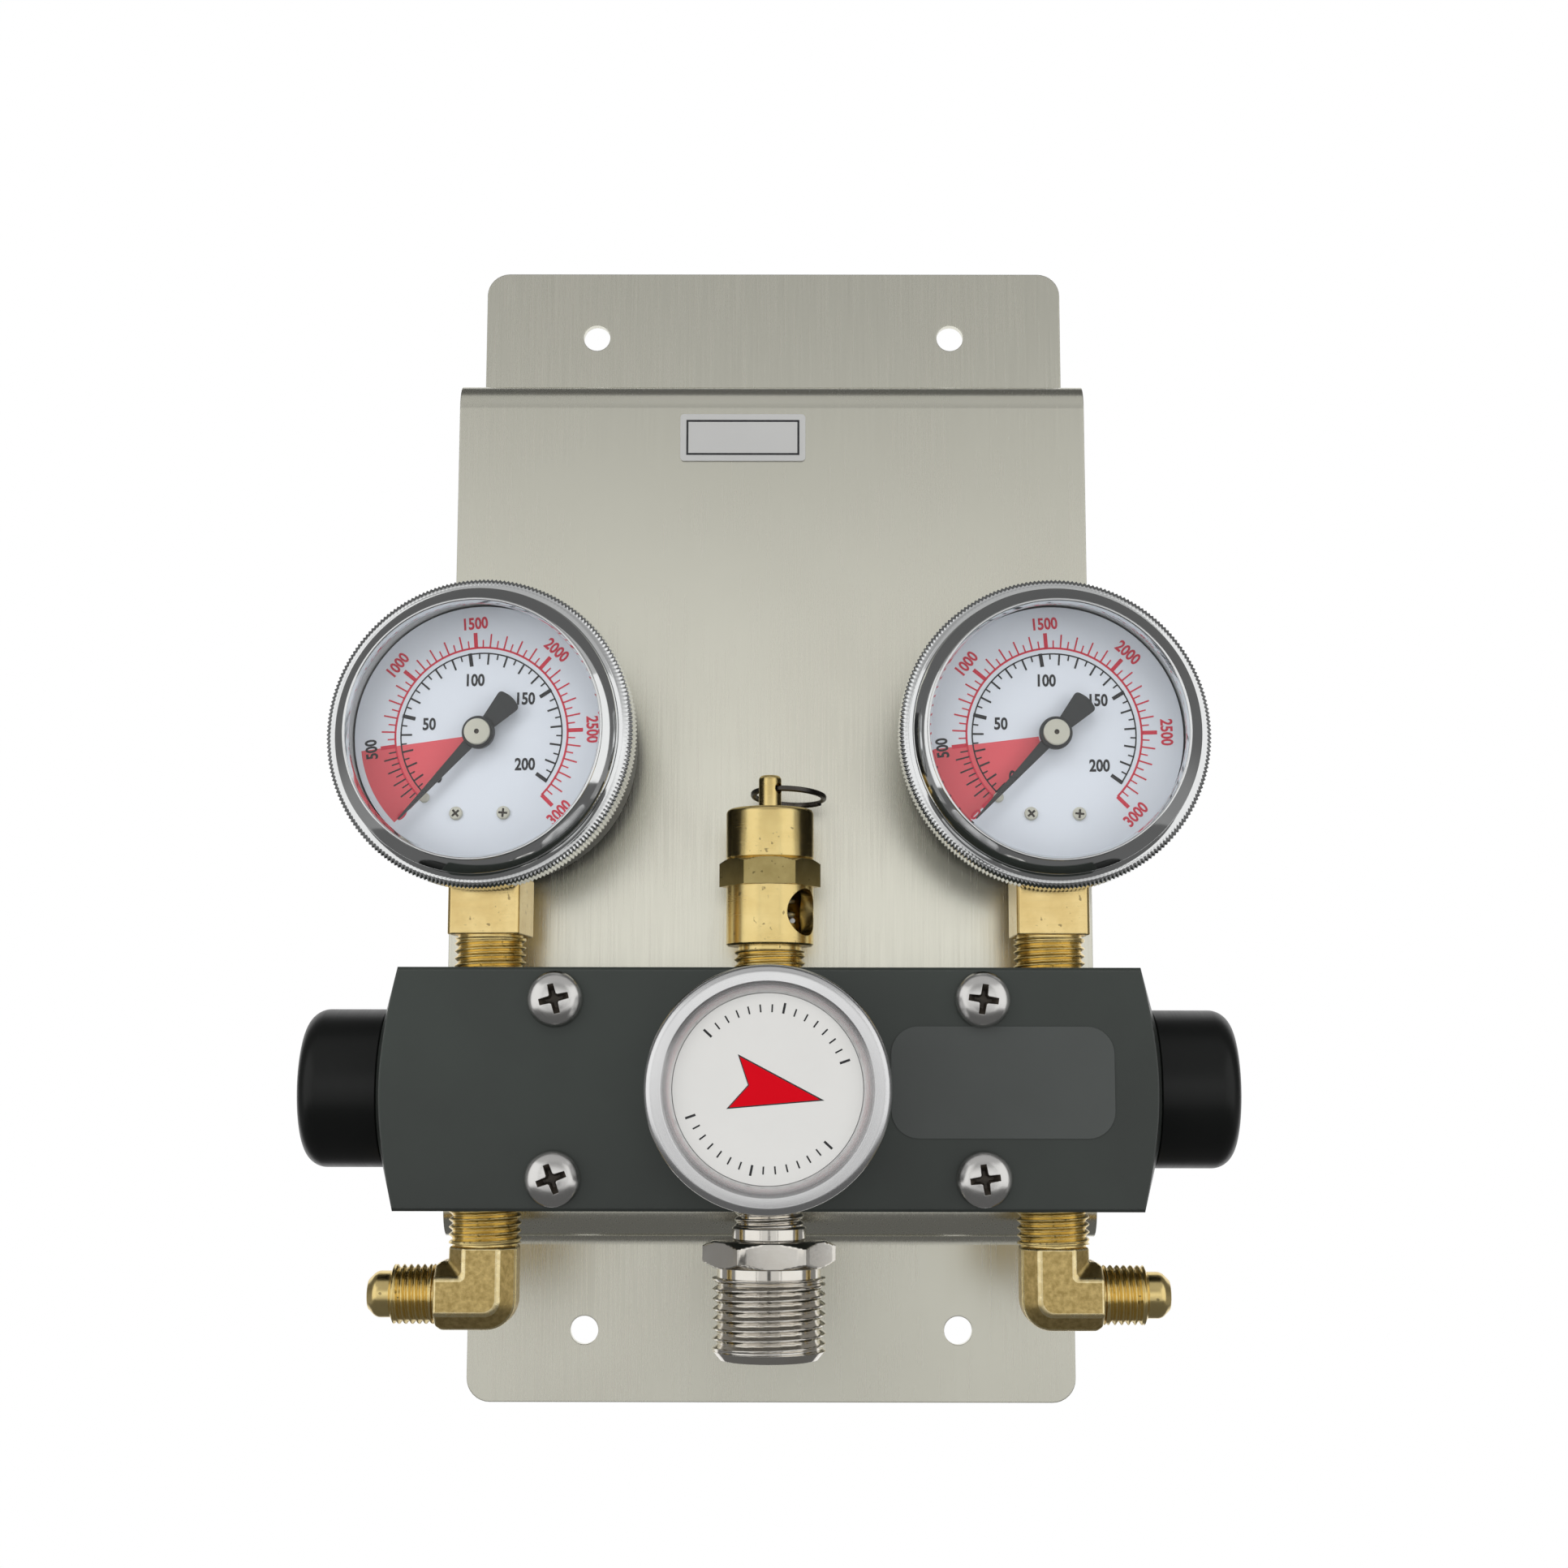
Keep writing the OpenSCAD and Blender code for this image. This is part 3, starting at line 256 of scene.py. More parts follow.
chrome = make_finish(
    "chrome", (0.8, 0.81, 0.81), (0.77, 0.78, 0.78), 0.08, grain=1200, gloss_spread=0.03, bump=0.05,
    turned=True, patch_scale=90, edge=0.12, Metallic=1.0)
pointer_black = make_finish(
    "pointer_black", (0.02, 0.022, 0.022), (0.026, 0.028, 0.028), 0.45, grain=2400, bump=0.05,
    bump_size=0.01, edge=0.05)
champagne = make_finish(
    "hub_cap", (0.58, 0.575, 0.49), (0.53, 0.52, 0.44), 0.42, grain=5200, bump=0.12, bump_size=0.01,
    turned=True, Metallic=0.35)
ring_steel = make_finish(
    "dark_ring", (0.16, 0.15, 0.14), (0.11, 0.1, 0.09), 0.3, grain=1500, Metallic=1.0)
rubber = make_finish("rubber", (0.018, 0.018, 0.018), (0.024, 0.024, 0.024), 0.6, grain=2000)
plug_white = make_finish("plug_plastic", (0.78, 0.77, 0.72), (0.74, 0.73, 0.68), 0.5, bump_size=0.05)
plate_grey = make_finish(
    "plate_grey", (0.53, 0.53, 0.52), (0.5, 0.5, 0.49), 0.34, grain=2600, bump=0.05, bump_size=0.01,
    edge=0.1, Metallic=0.3)
label_grey = make_finish(
    "label_grey", (0.05, 0.056, 0.053), (0.045, 0.05, 0.047), 0.42, grain=3200, bump=0.08, bump_size=0.01,
    edge=0.05)
ink_black = make_ink("ink_black", (0.018, 0.018, 0.02))
ink_red = make_ink("ink_red", (0.62, 0.025, 0.055))
ink_wedge = make_ink("ink_wedge", (0.72, 0.1, 0.12))
ink_arrow = make_ink("ink_arrow", (0.58, 0.0005, 0.008), roughness=0.45, fade=0.02, gloss=0.05)
# Painted shade: a dark brown finish for the insides of the cut recesses, namely the screws' crosses, the
# dial screws' slots and the hub cap's dot
recess_painted_shade = make_finish(
    "recess_painted_shade", (0.085, 0.07, 0.054), (0.045, 0.038, 0.03), 0.5, grain=2600, bump_size=0.05,
    patch_scale=900, Metallic=0.3)
lens_glass = make_glass("lens_glass")


# Mesh helpers
def add_object(name, data):
    item = bpy.data.objects.new(name, data)
    bpy.context.scene.collection.objects.link(item)
    return item


def new_piece(name, mesh, material, place=None, body="manifold", replaces=(), slot=None, smooth=35):
    """Puts a mesh in place, rides it on its body and hides the CAD nodes it replaces."""
    mesh.validate()
    mesh.shade_smooth()
    mesh.set_sharp_from_angle(angle=math.radians(smooth))
    piece = add_object(name, mesh)
    piece.matrix_world = place or Matrix.Identity(4)
    mesh.materials.append(material)
    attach(piece, body)
    for node in replaces:
        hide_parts(node)
    return piece


def mesh_from(name, points, faces, flat=False):
    """A mesh in metres from points in millimetres, with its normals outward, or up where it is flat."""
    mesh = bpy.data.meshes.new(name)
    mesh.from_pydata([Vector(point) * MM for point in points], [], faces)
    shell = bmesh.new()
    shell.from_mesh(mesh)
    if flat:
        for face in shell.faces:
            face.normal_update()
            if face.normal.z < 0:
                face.normal_flip()
    else:
        bmesh.ops.recalc_face_normals(shell, faces=shell.faces)
    shell.to_mesh(mesh)
    shell.free()
    return mesh


def built(name, data, material, place=None, **options):
    """A piece from its points and faces."""
    return new_piece(name, mesh_from(name, *data), material, place, **options)


def arc(centre_z, centre_r, radius, start, end, steps):
    """Profile points (z, r) on an arc, with its angle from the r axis towards z, in degrees."""
    angles = [math.radians(start + (end - start) * i / steps) for i in range(steps + 1)]
    return [(centre_z + radius * math.sin(a), centre_r + radius * math.cos(a)) for a in angles]


def turned_data(profile, segments=96, closed=False):
    """Points and faces of a turned shape. Each station is (z, r), or (z, r, form) with a form that
    gives the radius at an angle. A closed profile joins its last station to its first."""
    points, rings, faces = [], [], []
    for z, r, *form in profile:
        first = len(points)
        if r < 1e-6:
            rings.append([first] * segments)
            points.append((0, 0, z))
            continue
        rings.append(range(first, first + segments))
        for i in range(segments):
            angle = TAU * i / segments
            radius = form[0](angle, z, r) if form else r
            points.append((radius * math.cos(angle), radius * math.sin(angle), z))
    for low, high in zip(rings, rings[1:] + (rings[:1] if closed else [])):
        for i in range(segments):
            j = (i + 1) % segments
            face = tuple(dict.fromkeys((low[i], low[j], high[j], high[i])))
            if len(face) > 2:
                faces.append(face)
    return points, faces


def from_z(z, *stations):
    """Stations whose heights count from z."""
    return [(z + station[0], *station[1:]) for station in stations]


def rod_data(low, high, low_r, high_r, segments):
    """A plain rod along Z, or a cone."""
    return turned_data([(low, 0), (low, low_r), (high, high_r), (high, 0)], segments)


def turned(name, profile, material, place, segments=96, closed=False, **options):
    return built(name, turned_data(profile, segments, closed), material, place, **options)


def threaded(start, end, radius, pitch, depth):
    """Stations of a right-hand thread whose grooves run out over half a pitch at both ends."""
    count = max(2, round(abs(end - start) / pitch * 20))

    def form(angle, z, r):
        turn = (z / pitch - angle / TAU) % 1.0
        crest, flank = 0.12, 0.78
        groove = min(1.0, max(0.0, (abs(2 * turn - 1) - crest) / flank))
        fade = min(1.0, abs(z - start) / pitch * 2, abs(end - z) / pitch * 2)
        return r - depth * groove * fade

    return [(start + (end - start) * i / count, radius, form) for i in range(count + 1)]


def hexed(low, high, flats, chamfer_low=True):
    """Stations of a hexagon with a 30 degree chamfer on top, and below unless it is left off."""
    corner = flats / 2 / math.cos(math.pi / 6)
    inner = flats / 2 * 0.985
    rise = (corner - inner) * math.tan(math.pi / 6)

    def form(angle, z, r):
        across = angle % (math.pi / 3) - math.pi / 6
        return min(r, flats / 2 / math.cos(across))

    steps = 5
    ramp = [(inner + (corner - inner) * i / steps, rise * i / steps) for i in range(steps + 1)]
    first = [(low + up, r, form) for r, up in ramp] if chamfer_low else [(low, corner, form)]
    return first + [(high - up, r, form) for r, up in reversed(ramp)]


def knurl(count, depth):
    """A form with straight ridges round the piece."""
    return lambda angle, z, r: r - depth * (0.5 - 0.5 * math.cos(count * angle))


def join_data(*parts):
    """One list of points and faces from several."""
    points, faces = [], []
    for more_points, more_faces in parts:
        base = len(points)
        points += list(more_points)
        faces += [tuple(base + i for i in face) for face in more_faces]
    return points, faces


def loft_data(sections):
    """A skin through sections of the same number of points, closed at both ends."""
    n = len(sections[0])
    last = (len(sections) - 1) * n
    faces = [tuple(range(n)), tuple(range(last, last + n))]
    for i in range(0, last, n):
        faces += [(i + j, i + (j + 1) % n, i + n + (j + 1) % n, i + n + j) for j in range(n)]
    return [point for section in sections for point in section], faces


def box_data(low, high, b=0.0):
    """A box, with its upright edges bevelled by b."""
    (x0, y0, z0), (x1, y1, z1) = low, high
    ring = [(x0 + b, y0), (x1 - b, y0), (x1, y0 + b), (x1, y1 - b), (x1 - b, y1), (x0 + b, y1),
            (x0, y1 - b), (x0, y0 + b)] if b else [(x0, y0), (x1, y0), (x1, y1), (x0, y1)]
    return loft_data([[(x, y, z) for x, y in ring] for z in (z0, z1)])


def bar_data(stations, low, high):
    """A flat bar along X between two heights, from stations (x, half width)."""
    return loft_data([[(x, half, low), (x, -half, low), (x, -half, high), (x, half, high)]
                      for x, half in stations])


def wire_data(places, half_w, half_h):
    """A wire through places (radius, angle, z) round the Z axis, with its half width and half height."""
    form = [polar(1, 36 * j) for j in range(10)]
    sections = []
    for radius, angle, z in places:
        section = [(radius + half_w * c, z + half_h * s) for c, s in form]
        sections.append([(r * math.cos(angle), r * math.sin(angle), height) for r, height in section])
    return loft_data(sections)


def coil_data(start, end, outer_r, wire_r, turns):
    """A spring along Z whose first and last turns lie close to their neighbours."""
    per_turn = 36
    close = 2.08 * wire_r
    pitch = (end - start - 2 * wire_r - 2 * close) / (turns - 2)
    places = []
    for i in range(round(turns * per_turn) + 1):
        turn = i / per_turn
        free = min(max(turn - 1, 0), turns - 2)
        places.append((outer_r - wire_r, TAU * turn, start + wire_r + close * (turn - free) + pitch * free))
    return wire_data(places, wire_r, wire_r)


def evaluated(item):
    """An object as its modifiers leave it."""
    bpy.context.view_layer.update()
    return item.evaluated_get(bpy.context.evaluated_depsgraph_get())


def cut(piece, *cutters, lining=None):
    """Cuts meshes in the piece's own axes out of the piece, and finishes the cut in the lining."""
    for mesh in cutters:
        mesh.materials.append(lining or piece.data.materials[0])
        tool = add_object("cutter", mesh)
        tool.matrix_world = piece.matrix_world
        modifier = piece.modifiers.new("cut", "BOOLEAN")
        modifier.operation = "DIFFERENCE"
        modifier.object = tool
        modifier.solver = "EXACT"
        modifier.material_mode = "TRANSFER"
        result = bpy.data.meshes.new_from_object(evaluated(piece))
        piece.modifiers.remove(modifier)
        piece.data = result
        bpy.data.objects.remove(tool)
    piece.data.set_sharp_from_angle(angle=math.radians(35))


def soften(piece, width, edge_finish=None):
    """Rounds the sharp edges of a piece, and gives them another finish if there is one."""
    modifier = piece.modifiers.new("soften", "BEVEL")
    modifier.width = width * MM
    modifier.segments = 3
    modifier.limit_method = "ANGLE"
    modifier.angle_limit = math.radians(25)
    modifier.harden_normals = True
    if edge_finish:
        piece.data.materials.append(edge_finish)
        modifier.material = len(piece.data.materials) - 1


def moved(x, y, z):
    return Matrix.Translation((x * MM, y * MM, z * MM))


def rotated(degrees, axis):
    return Matrix.Rotation(math.radians(degrees), 4, axis)


def face_y(x, z):
    """A place whose own Z comes straight out from the wall at (x, z), in millimetres."""
    return moved(x, 0, z) @ rotated(90, "X")


def along_x(sign, z):
    """A place on the body's line whose own Z goes out to that side."""
    return moved(0, -axis_d, z) @ rotated(sign * 90, "Y")


def upright(x):
    """A place on the body's line whose own Z is up."""
    return moved(x, -axis_d, 0)


def gauge_place(side):
    """The frame of a gauge: X right, Y up and Z forward, at the middle of its dial's spindle."""
    joint = joints[side + "_pointer_turn"]
    forward = -Vector(joint["axis"]).normalized()
    turn = Matrix((UP.cross(forward), UP, forward)).transposed().to_4x4()
    return Matrix.Translation(joint["pos_m"]) @ turn


# Flat print, as thin shapes in the XY plane of a place
def polar(radius, degrees):
    angle = math.radians(degrees)
    return radius * math.cos(angle), radius * math.sin(angle)


def band(inner, outer, start, end, steps):
    """A flat arc between two radii."""
    angles = [start + (end - start) * i / steps for i in range(steps + 1)]
    points = [polar(outer, a) for a in angles] + [polar(inner, a) for a in angles]
    n = steps + 1
    return points, [(i, i + 1, n + i + 1, n + i) for i in range(steps)]


def tick(inner, outer, degrees, width):
    """A straight radial mark."""
    x, y = polar(1, degrees)
    half = width / 2
    points = [(r * x - s * half * y, r * y + s * half * x) for r, s in
              ((inner, -1), (outer, -1), (outer, 1), (inner, 1))]
    return points, [(0, 1, 2, 3)]


glyph_store = {}


def number(text, height, x, y, turn=0.0):
    """A number in the plain built-in face, centred at (x, y) and turned by degrees."""
    narrow, weight = 0.82, 0.03
    if text not in glyph_store:
        curve = bpy.data.curves.new("glyphs", "FONT")
        curve.body = text
        curve.align_x = "CENTER"
        curve.align_y = "CENTER"
        curve.resolution_u = 3
        curve.offset = weight
        holder = add_object("glyphs", curve)
        shape = evaluated(holder).to_mesh()
        glyph_store[text] = ([(v.co.x, v.co.y) for v in shape.vertices],
                             [tuple(face.vertices) for face in shape.polygons])
        bpy.data.objects.remove(holder)
    points, faces = glyph_store[text]
    low, high = min(p[1] for p in points), max(p[1] for p in points)
    scale = height / (high - low)
    c, s = polar(1, turn)
    placed = []
    for px, py in points:
        u, v = px * scale * narrow, (py - (high + low) / 2) * scale
        placed.append((x + u * c - v * s, y + u * s + v * c))
    return placed, faces


def printed(name, parts, height, material, place, body="manifold", slot="white_dial"):
    """Print on a face: flat shapes at that height along the place's Z."""
    points, faces = join_data(*parts)
    mesh = mesh_from(name, [(x, y, height) for x, y in points], faces, flat=True)
    new_piece(name, mesh, material, place, body, slot=slot)


# CAD nodes that keep their shape, with their finishes
def both_sides(*names):
    return [f"{side}_{name}" for name in names for side in SIDES]


carried = {
    stainless: ["bracket"],
    anodised: ["manifold_body"],
    zinc: ["body_nuts"],
    steel: ["knob_set_screw", "selector_shaft", *both_sides("spring_cup")],
    rubber: ["cap_seals", "stem_seals", "shaft_seal", *both_sides("piston_seal")],
    plug_white: both_sides("seat_plug"),
    inner_brass: ["seat_nozzles", "selector_bush", "inlet_filters", "relief_disc",
                  *both_sides("piston", "pinion", "sector", "movement_frame", "bourdon_tube")],
    knob_white: ["knob_dial"],
    dial_white: both_sides("gauge_dial"),
    lens_glass: both_sides("gauge_lens"),
    plate_grey: ["gas_label"],
    label_grey: ["body_label"],
}
for side in SIDES:
    case_middle = gauge_place(side) @ Vector((0, 0, 0.005))
    paint = make_finish(
        side + "_case_paint", (0.02, 0.021, 0.022), (0.026, 0.027, 0.028), 0.38, grain=1400,
        bump_size=0.03, edge=0.3, lining=(case_middle, (0.55, 0.56, 0.56)))
    carried[paint] = [side + "_gauge_case"]
for material, names in carried.items():
    for node in names:
        mesh = nodes[node].data
        mesh.materials.clear()
        mesh.materials.append(material)
        mesh.set_sharp_from_angle(angle=math.radians(30))

# End caps
cap_edge = 4.0
spigot = 10.95
groove = 9.35
seat = body_high.x
for side, sign in SIDES.items():
    low, high = box_mm(side + "_end_cap")
    foot, tip = sorted((abs(low.x), abs(high.x)))
    radius = (high.z - low.z) / 2
    profile = [(foot, 0), (foot, spigot - 0.6), (foot + 0.6, spigot)]
    profile += from_z(seat, (-3.35, spigot), (-3.35, groove), (-1.05, groove), (-1.05, spigot),
                      (0, spigot), (0, radius - 0.3), (0.3, radius))
    profile += arc(tip - cap_edge, radius - cap_edge, cap_edge, 0, 90, 14) + [(tip, 0)]
    turned(side + "_cap", profile, cap_black, along_x(sign, axis_z),
           replaces=[side + "_end_cap"], slot="black_cap", segments=128)

# Priority knob with its printed dial
knob_r = (knob_high.x - knob_low.x) / 2
knob_back = -knob_high.y
knob_front = -knob_low.y
dial_low, dial_high = box_mm("knob_dial")
dial_face = -dial_low.y
dial_r = (dial_high.x - dial_low.x) / 2
rim_r = 18.85
knob_edge = 1.6
bore = 4.05
bore_end = knob_back + 11.1
grip = knurl(132, 0.22)
grip_steps = 6
grip_step = (knob_front - knob_edge - knob_back - 1.4) / grip_steps
profile = [(knob_back, bore), (knob_back, knob_r - 0.8)]
profile += [(knob_back + 0.8 + i * grip_step, knob_r, grip) for i in range(grip_steps + 1)]
profile += arc(knob_front - knob_edge, knob_r - knob_edge, knob_edge, 0, 90, 10)
profile += [(knob_front, rim_r + 0.12), (knob_front - 0.1, rim_r)]
profile += from_z(dial_face, (0.05, dial_r + 0.15), (-0.02, dial_r + 0.1), (-0.8, dial_r + 0.1),
                  (-0.8, 0.0))
profile += [(bore_end, 0.0), (bore_end, bore)]
knob_place = face_y(0, axis_z)
knob = turned("knob", profile, aluminium, knob_place, segments=528, closed=True, body="selector",
              replaces=["priority_knob"], slot="turned_aluminium")
set_low, set_high = box_mm("knob_set_screw")
set_r = (set_high.x - set_low.x) / 2 + 0.05
set_forward = -(set_low.y + set_high.y) / 2
set_hole = mesh_from("set_hole", *rod_data(0, knob_r + 1, set_r, set_r, 48))
set_hole.transform(moved(0, 0, set_forward) @ rotated(90, "X"))
cut(knob, set_hole)
arrow = [(10.0, -2.0), (-5.3, 6.1), (-3.5, 0.7), (-7.3, -3.5)]
arrow_middle = Vector((-0.6, 0.0))
arrow_line = 0.075
inset = [tuple(Vector(p) + (arrow_middle - Vector(p)) * arrow_line) for p in arrow]
halves = [(0, 1, 2), (0, 2, 3)]
index_turn = 78.5
index_span = 59.0
index_count = 14
index_marks = []
for half_turn in (0, 180):
    for i in range(index_count + 1):
        at = index_turn + half_turn - index_span + 2 * index_span * i / index_count
        outer, width = (15.4, 0.42) if i % 7 == 0 else (14.9, 0.28)
        index_marks.append(tick(13.5, outer, at, width))
for name, parts, lift, ink in (("knob_arrow_line", [(arrow, halves)], 0.02, ink_black),
                               ("knob_arrow", [(inset, halves)], 0.04, ink_arrow),
                               ("knob_index", index_marks, 0.02, ink_black)):
    printed(name, parts, dial_face + lift, ink, knob_place, "selector")

# Screws with cross recesses
screw_reach = 4.75
screw_r = 2.5
head_r = 5.2
head_h = 3.1
head_edge = 0.45
screw_turns = {(-1, 1): 14, (1, 1): -8, (-1, -1): 20, (1, -1): 8}
screws_low, screws_high = box_mm("body_screws")
screw_x = screws_high.x - screw_reach
screw_z = (screws_high.z - screws_low.z) / 2 - screw_reach
screw_tip = -screws_high.y
pit = body_front + head_h - 2.1
top = body_front + head_h + 0.4
wing_shape = [(0.35, -0.30, pit), (1.6, -0.30, pit), (1.6, 0.30, pit), (0.35, 0.30, pit),
              (0.35, -0.74, top), (3.2, -0.66, top), (3.2, 0.66, top), (0.35, 0.74, top)]
wing_faces = [(3, 2, 1, 0), (4, 5, 6, 7), (0, 1, 5, 4), (1, 2, 6, 5), (2, 3, 7, 6), (3, 0, 4, 7)]
profile = [(screw_tip, 0), (screw_tip, screw_r - 0.5), (screw_tip + 0.5, screw_r)]
profile += threaded(screw_tip + 0.5, panel_front + 2, screw_r, SCREW_PITCH, 0.4)
profile += [(body_front, screw_r), (body_front, head_r - 0.15), (body_front + 0.15, head_r)]
for step in range(10):
    c, s = polar(1, 9 * step)
    profile.append((body_front + head_edge + (head_h - head_edge) * s, head_r * c ** 0.75))
profile += [(body_front + head_h, 0)]
for index, ((x, z), turn) in enumerate(screw_turns.items()):
    place = face_y(x * screw_x, axis_z + z * screw_z) @ rotated(turn, "Z")
    screw = turned(f"body_screw_{index + 1}", profile, zinc, place, replaces=["body_screws"],
                   slot="zinc_steel")
    recess = [mesh_from("recess", *rod_data(pit, top, 0.75, 1.15, 24))]
    for arm in range(4):
        c, s = polar(1, 90 * arm)
        points = [(px * c - py * s, px * s + py * c, pz) for px, py, pz in wing_shape]
        recess.append(mesh_from("recess", points, wing_faces))
    cut(screw, *recess, lining=recess_painted_shade)

# Relief valve: body
pipe_r = 6.85
relief_low, relief_high = box_mm("relief_body")
cap_low, cap_high = box_mm("relief_cap")
stem_low, stem_high = box_mm("relief_stem")
cap_seat = relief_high.z
hex_z = cap_seat - 5.3
hex_flats = 17
round_z = hex_z - 11.5
round_r = 8.45
room_r = 6.0
room_floor = round_z + 1.3
drill_r = 3.0
relief_place = upright(0)
profile = [(relief_low.z, drill_r), (relief_low.z, pipe_r - 0.6)]
profile += threaded(relief_low.z + 0.6, round_z - 1.0, pipe_r, PIPE_PITCH, 0.62)
profile += from_z(round_z, (-0.9, pipe_r - 0.75), (0, pipe_r - 0.75), (0, round_r - 0.35),
                  (0.35, round_r))
profile += [(hex_z, round_r)] + hexed(hex_z, cap_seat, hex_flats, chamfer_low=False)
profile += [(cap_seat, room_r), (room_floor, room_r), (room_floor, drill_r)]
relief = turned("relief_valve_body", profile, brass, relief_place, closed=True,
                replaces=["relief_body"], slot="brass")
relief.data.materials.append(drawn_brass)
for face in relief.data.polygons:
    if face.center.z > hex_z * MM and face.center.xy.length > round_r * MM and abs(face.normal.z) < 0.2:
        face.material_index = 1
discharge_r = 4.5
discharge_turn = 56
hole = mesh_from("discharge", *rod_data(0, 20, discharge_r, discharge_r, 64))
hole.transform(moved(0, 0, room_floor + 5.0) @ rotated(discharge_turn, "Z") @ rotated(90, "X"))
cut(relief, hole)

# Relief valve: cap and lifting stem
cap_r = 8.5
cap_round = 1.0
cap_room = 5.2
lift_r = 2.2
lift_room = lift_r + 0.04
stem_round = 0.9
eye_r = 1.1
profile = [(cap_low.z, cap_room), (cap_low.z, room_r - 0.05), (cap_seat, room_r - 0.05),
           (cap_seat, cap_r - 0.2), (cap_seat + 0.2, cap_r)]
profile += arc(cap_high.z - cap_round, cap_r - cap_round, cap_round, 0, 90, 8)
profile += from_z(cap_high.z, (0, 5.6), (-0.12, 5.5), (-0.12, lift_r + 0.25), (-0.4, lift_room),
                  (-2.5, lift_room), (-2.5, cap_room))
turned("relief_valve_cap", profile, brass, relief_place, closed=True, replaces=["relief_cap"], slot="brass")
ring_joint = joints["ring_swing"]
ring_axis = Vector(ring_joint["axis"]).normalized()
ring_z = ring_joint["pos_m"][2] / MM
profile = [(stem_low.z, 0), (stem_low.z, lift_r), (stem_high.z - stem_round, lift_r)]
profile += arc(stem_high.z - stem_round, lift_r - stem_round, stem_round, 0, 90, 6) + [(stem_high.z, 0)]
stem = turned("relief_lift_stem", profile, brass, relief_place, segments=64, body="relief_lifter",
              replaces=["relief_stem"], slot="brass")
eye = mesh_from("eye", *rod_data(-6, 6, eye_r, eye_r, 32))
eye.transform(moved(0, 0, ring_z) @ ring_axis.to_track_quat("Z", "Y").to_matrix().to_4x4())
cut(stem, eye)

# Pull ring: a split ring of flat wire, two turns that part at the far end
ring_mean = 6.95
droop = 6.5
ring_turn = Matrix((ring_axis, UP.cross(ring_axis), UP)).transposed().to_4x4()
ring_place = moved(0, -axis_d, ring_z) @ ring_turn @ rotated(-droop, "X") @ moved(0, ring_mean, 0)
turns = 1.93
steps = 150
wire_w = 0.55
wire_h = 0.36
wire_gap = 0.38
places = [(ring_mean, TAU * turns * i / steps + math.radians(60), (2 * i / steps - 1) * wire_gap)
          for i in range(steps + 1)]
built("split_ring", wire_data(places, wire_w, wire_h), ring_steel, ring_place, body="ring",
      replaces=["pull_ring"], slot="dark_ring", smooth=60)


# Springs; one that a joint presses gets a mesh of its own
def spring(name, node, shape, place, joint=None, **fixed):
    coil = built(name, shape, steel, place, replaces=[node], slot="spring_steel", smooth=60)
    if joint:
        low, high = box_mm(node)
        length = (high - low).dot(Vector(fixed["axis"]))
        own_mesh(coil)


low, high = box_mm("relief_spring")
spring("relief_coil", "relief_spring", coil_data(low.z, high.z, 4.9, 0.55, 8), relief_place, "relief_lift",
       axis=(0, 0, 1), anchor=(0, 0, high.z * MM))
# Outer radius, wire radius, turns and the mover of the valve springs
spring_kinds = {"main": (6.5, 0.75, 4.5, "valve"), "bias": (6.0, 0.55, 5, "cup")}
for side, sign in SIDES.items():
    for kind, (outer_r, wire_r, turns, mover) in spring_kinds.items():
        node = f"{side}_{kind}_spring"
        low, high = box_mm(node)
        near, far = sorted((abs(low.x), abs(high.x)))
        joint = f"{side}_{mover}_slide" if node != "left_bias_spring" else None
        spring(f"{side}_{kind}_coil", node, coil_data(near, far, outer_r, wire_r, turns),
               along_x(sign, axis_z), joint, axis=(1, 0, 0), anchor=(sign * far * MM, 0, 0))

# Inlet elbows: a forged leg with bevels, with a pipe thread up and a flare out
port_x = abs(joints["right_pointer_turn"]["pos_m"][0]) / MM
elbow_low, elbow_high = box_mm("right_inlet_elbow")
leg_half = 6.4
leg_bevel = 3.1
flat = leg_half - leg_bevel
out_r = 5.6
face_r = 1.0
in_r = 0.6
end_cut = 0.9
flare_z = elbow_low.z + leg_half
leg_top = body_low.z - 7.3
leg_end = 62.9
flare_r = 5.55
flare_bore = 2.4
nose_r = 4.35
nose_round = 2.0
nose_x = leg_end + 8.6
nose_tip = elbow_high.x - 0.5
pipe_end = elbow_high.z
filter_r = 4.05
near_x, far_x = port_x - leg_half, port_x + leg_half
low_z, high_z = flare_z - leg_half, flare_z + leg_half
corners = [(near_x, low_z, out_r), (near_x + leg_bevel, low_z + leg_bevel, out_r - leg_bevel),
           (far_x - leg_bevel, high_z - leg_bevel, face_r), (far_x, high_z, in_r)]

# Stations round the elbow: outer edge, both edges of the front face, inner edge
rails = [[(x, leg_top) for x, z, r in corners]]
for i in range(11):
    c, s = polar(1, 180 + 9 * i)
    rails.append([(x + r + r * c, z + r + r * s) for x, z, r in corners])
rails.append([(leg_end - 1.2, z) for x, z, r in corners])
rails.append([(leg_end, z + shift) for (x, z, r), shift in zip(corners, (end_cut, 0, 0, -end_cut))])
pipe = [(leg_top - 1, 0), (leg_top - 1, pipe_r - 0.7), (leg_top + 0.3, pipe_r - 0.7)]
pipe += threaded(leg_top + 0.4, pipe_end - 0.6, pipe_r, PIPE_PITCH, 0.66)
pipe += [(pipe_end, pipe_r - 0.6), (pipe_end, filter_r), (pipe_end - 3.2, filter_r), (pipe_end - 3.2, 0)]
flare = [(leg_end - 1, 0), (leg_end - 1, flare_r - 0.7), (leg_end + 0.4, flare_r - 0.7)]
flare += threaded(leg_end + 0.5, nose_x - 0.6, flare_r, FLARE_PITCH, 0.68)
flare += [(nose_x, nose_r), (nose_tip - 2.4, nose_r)]
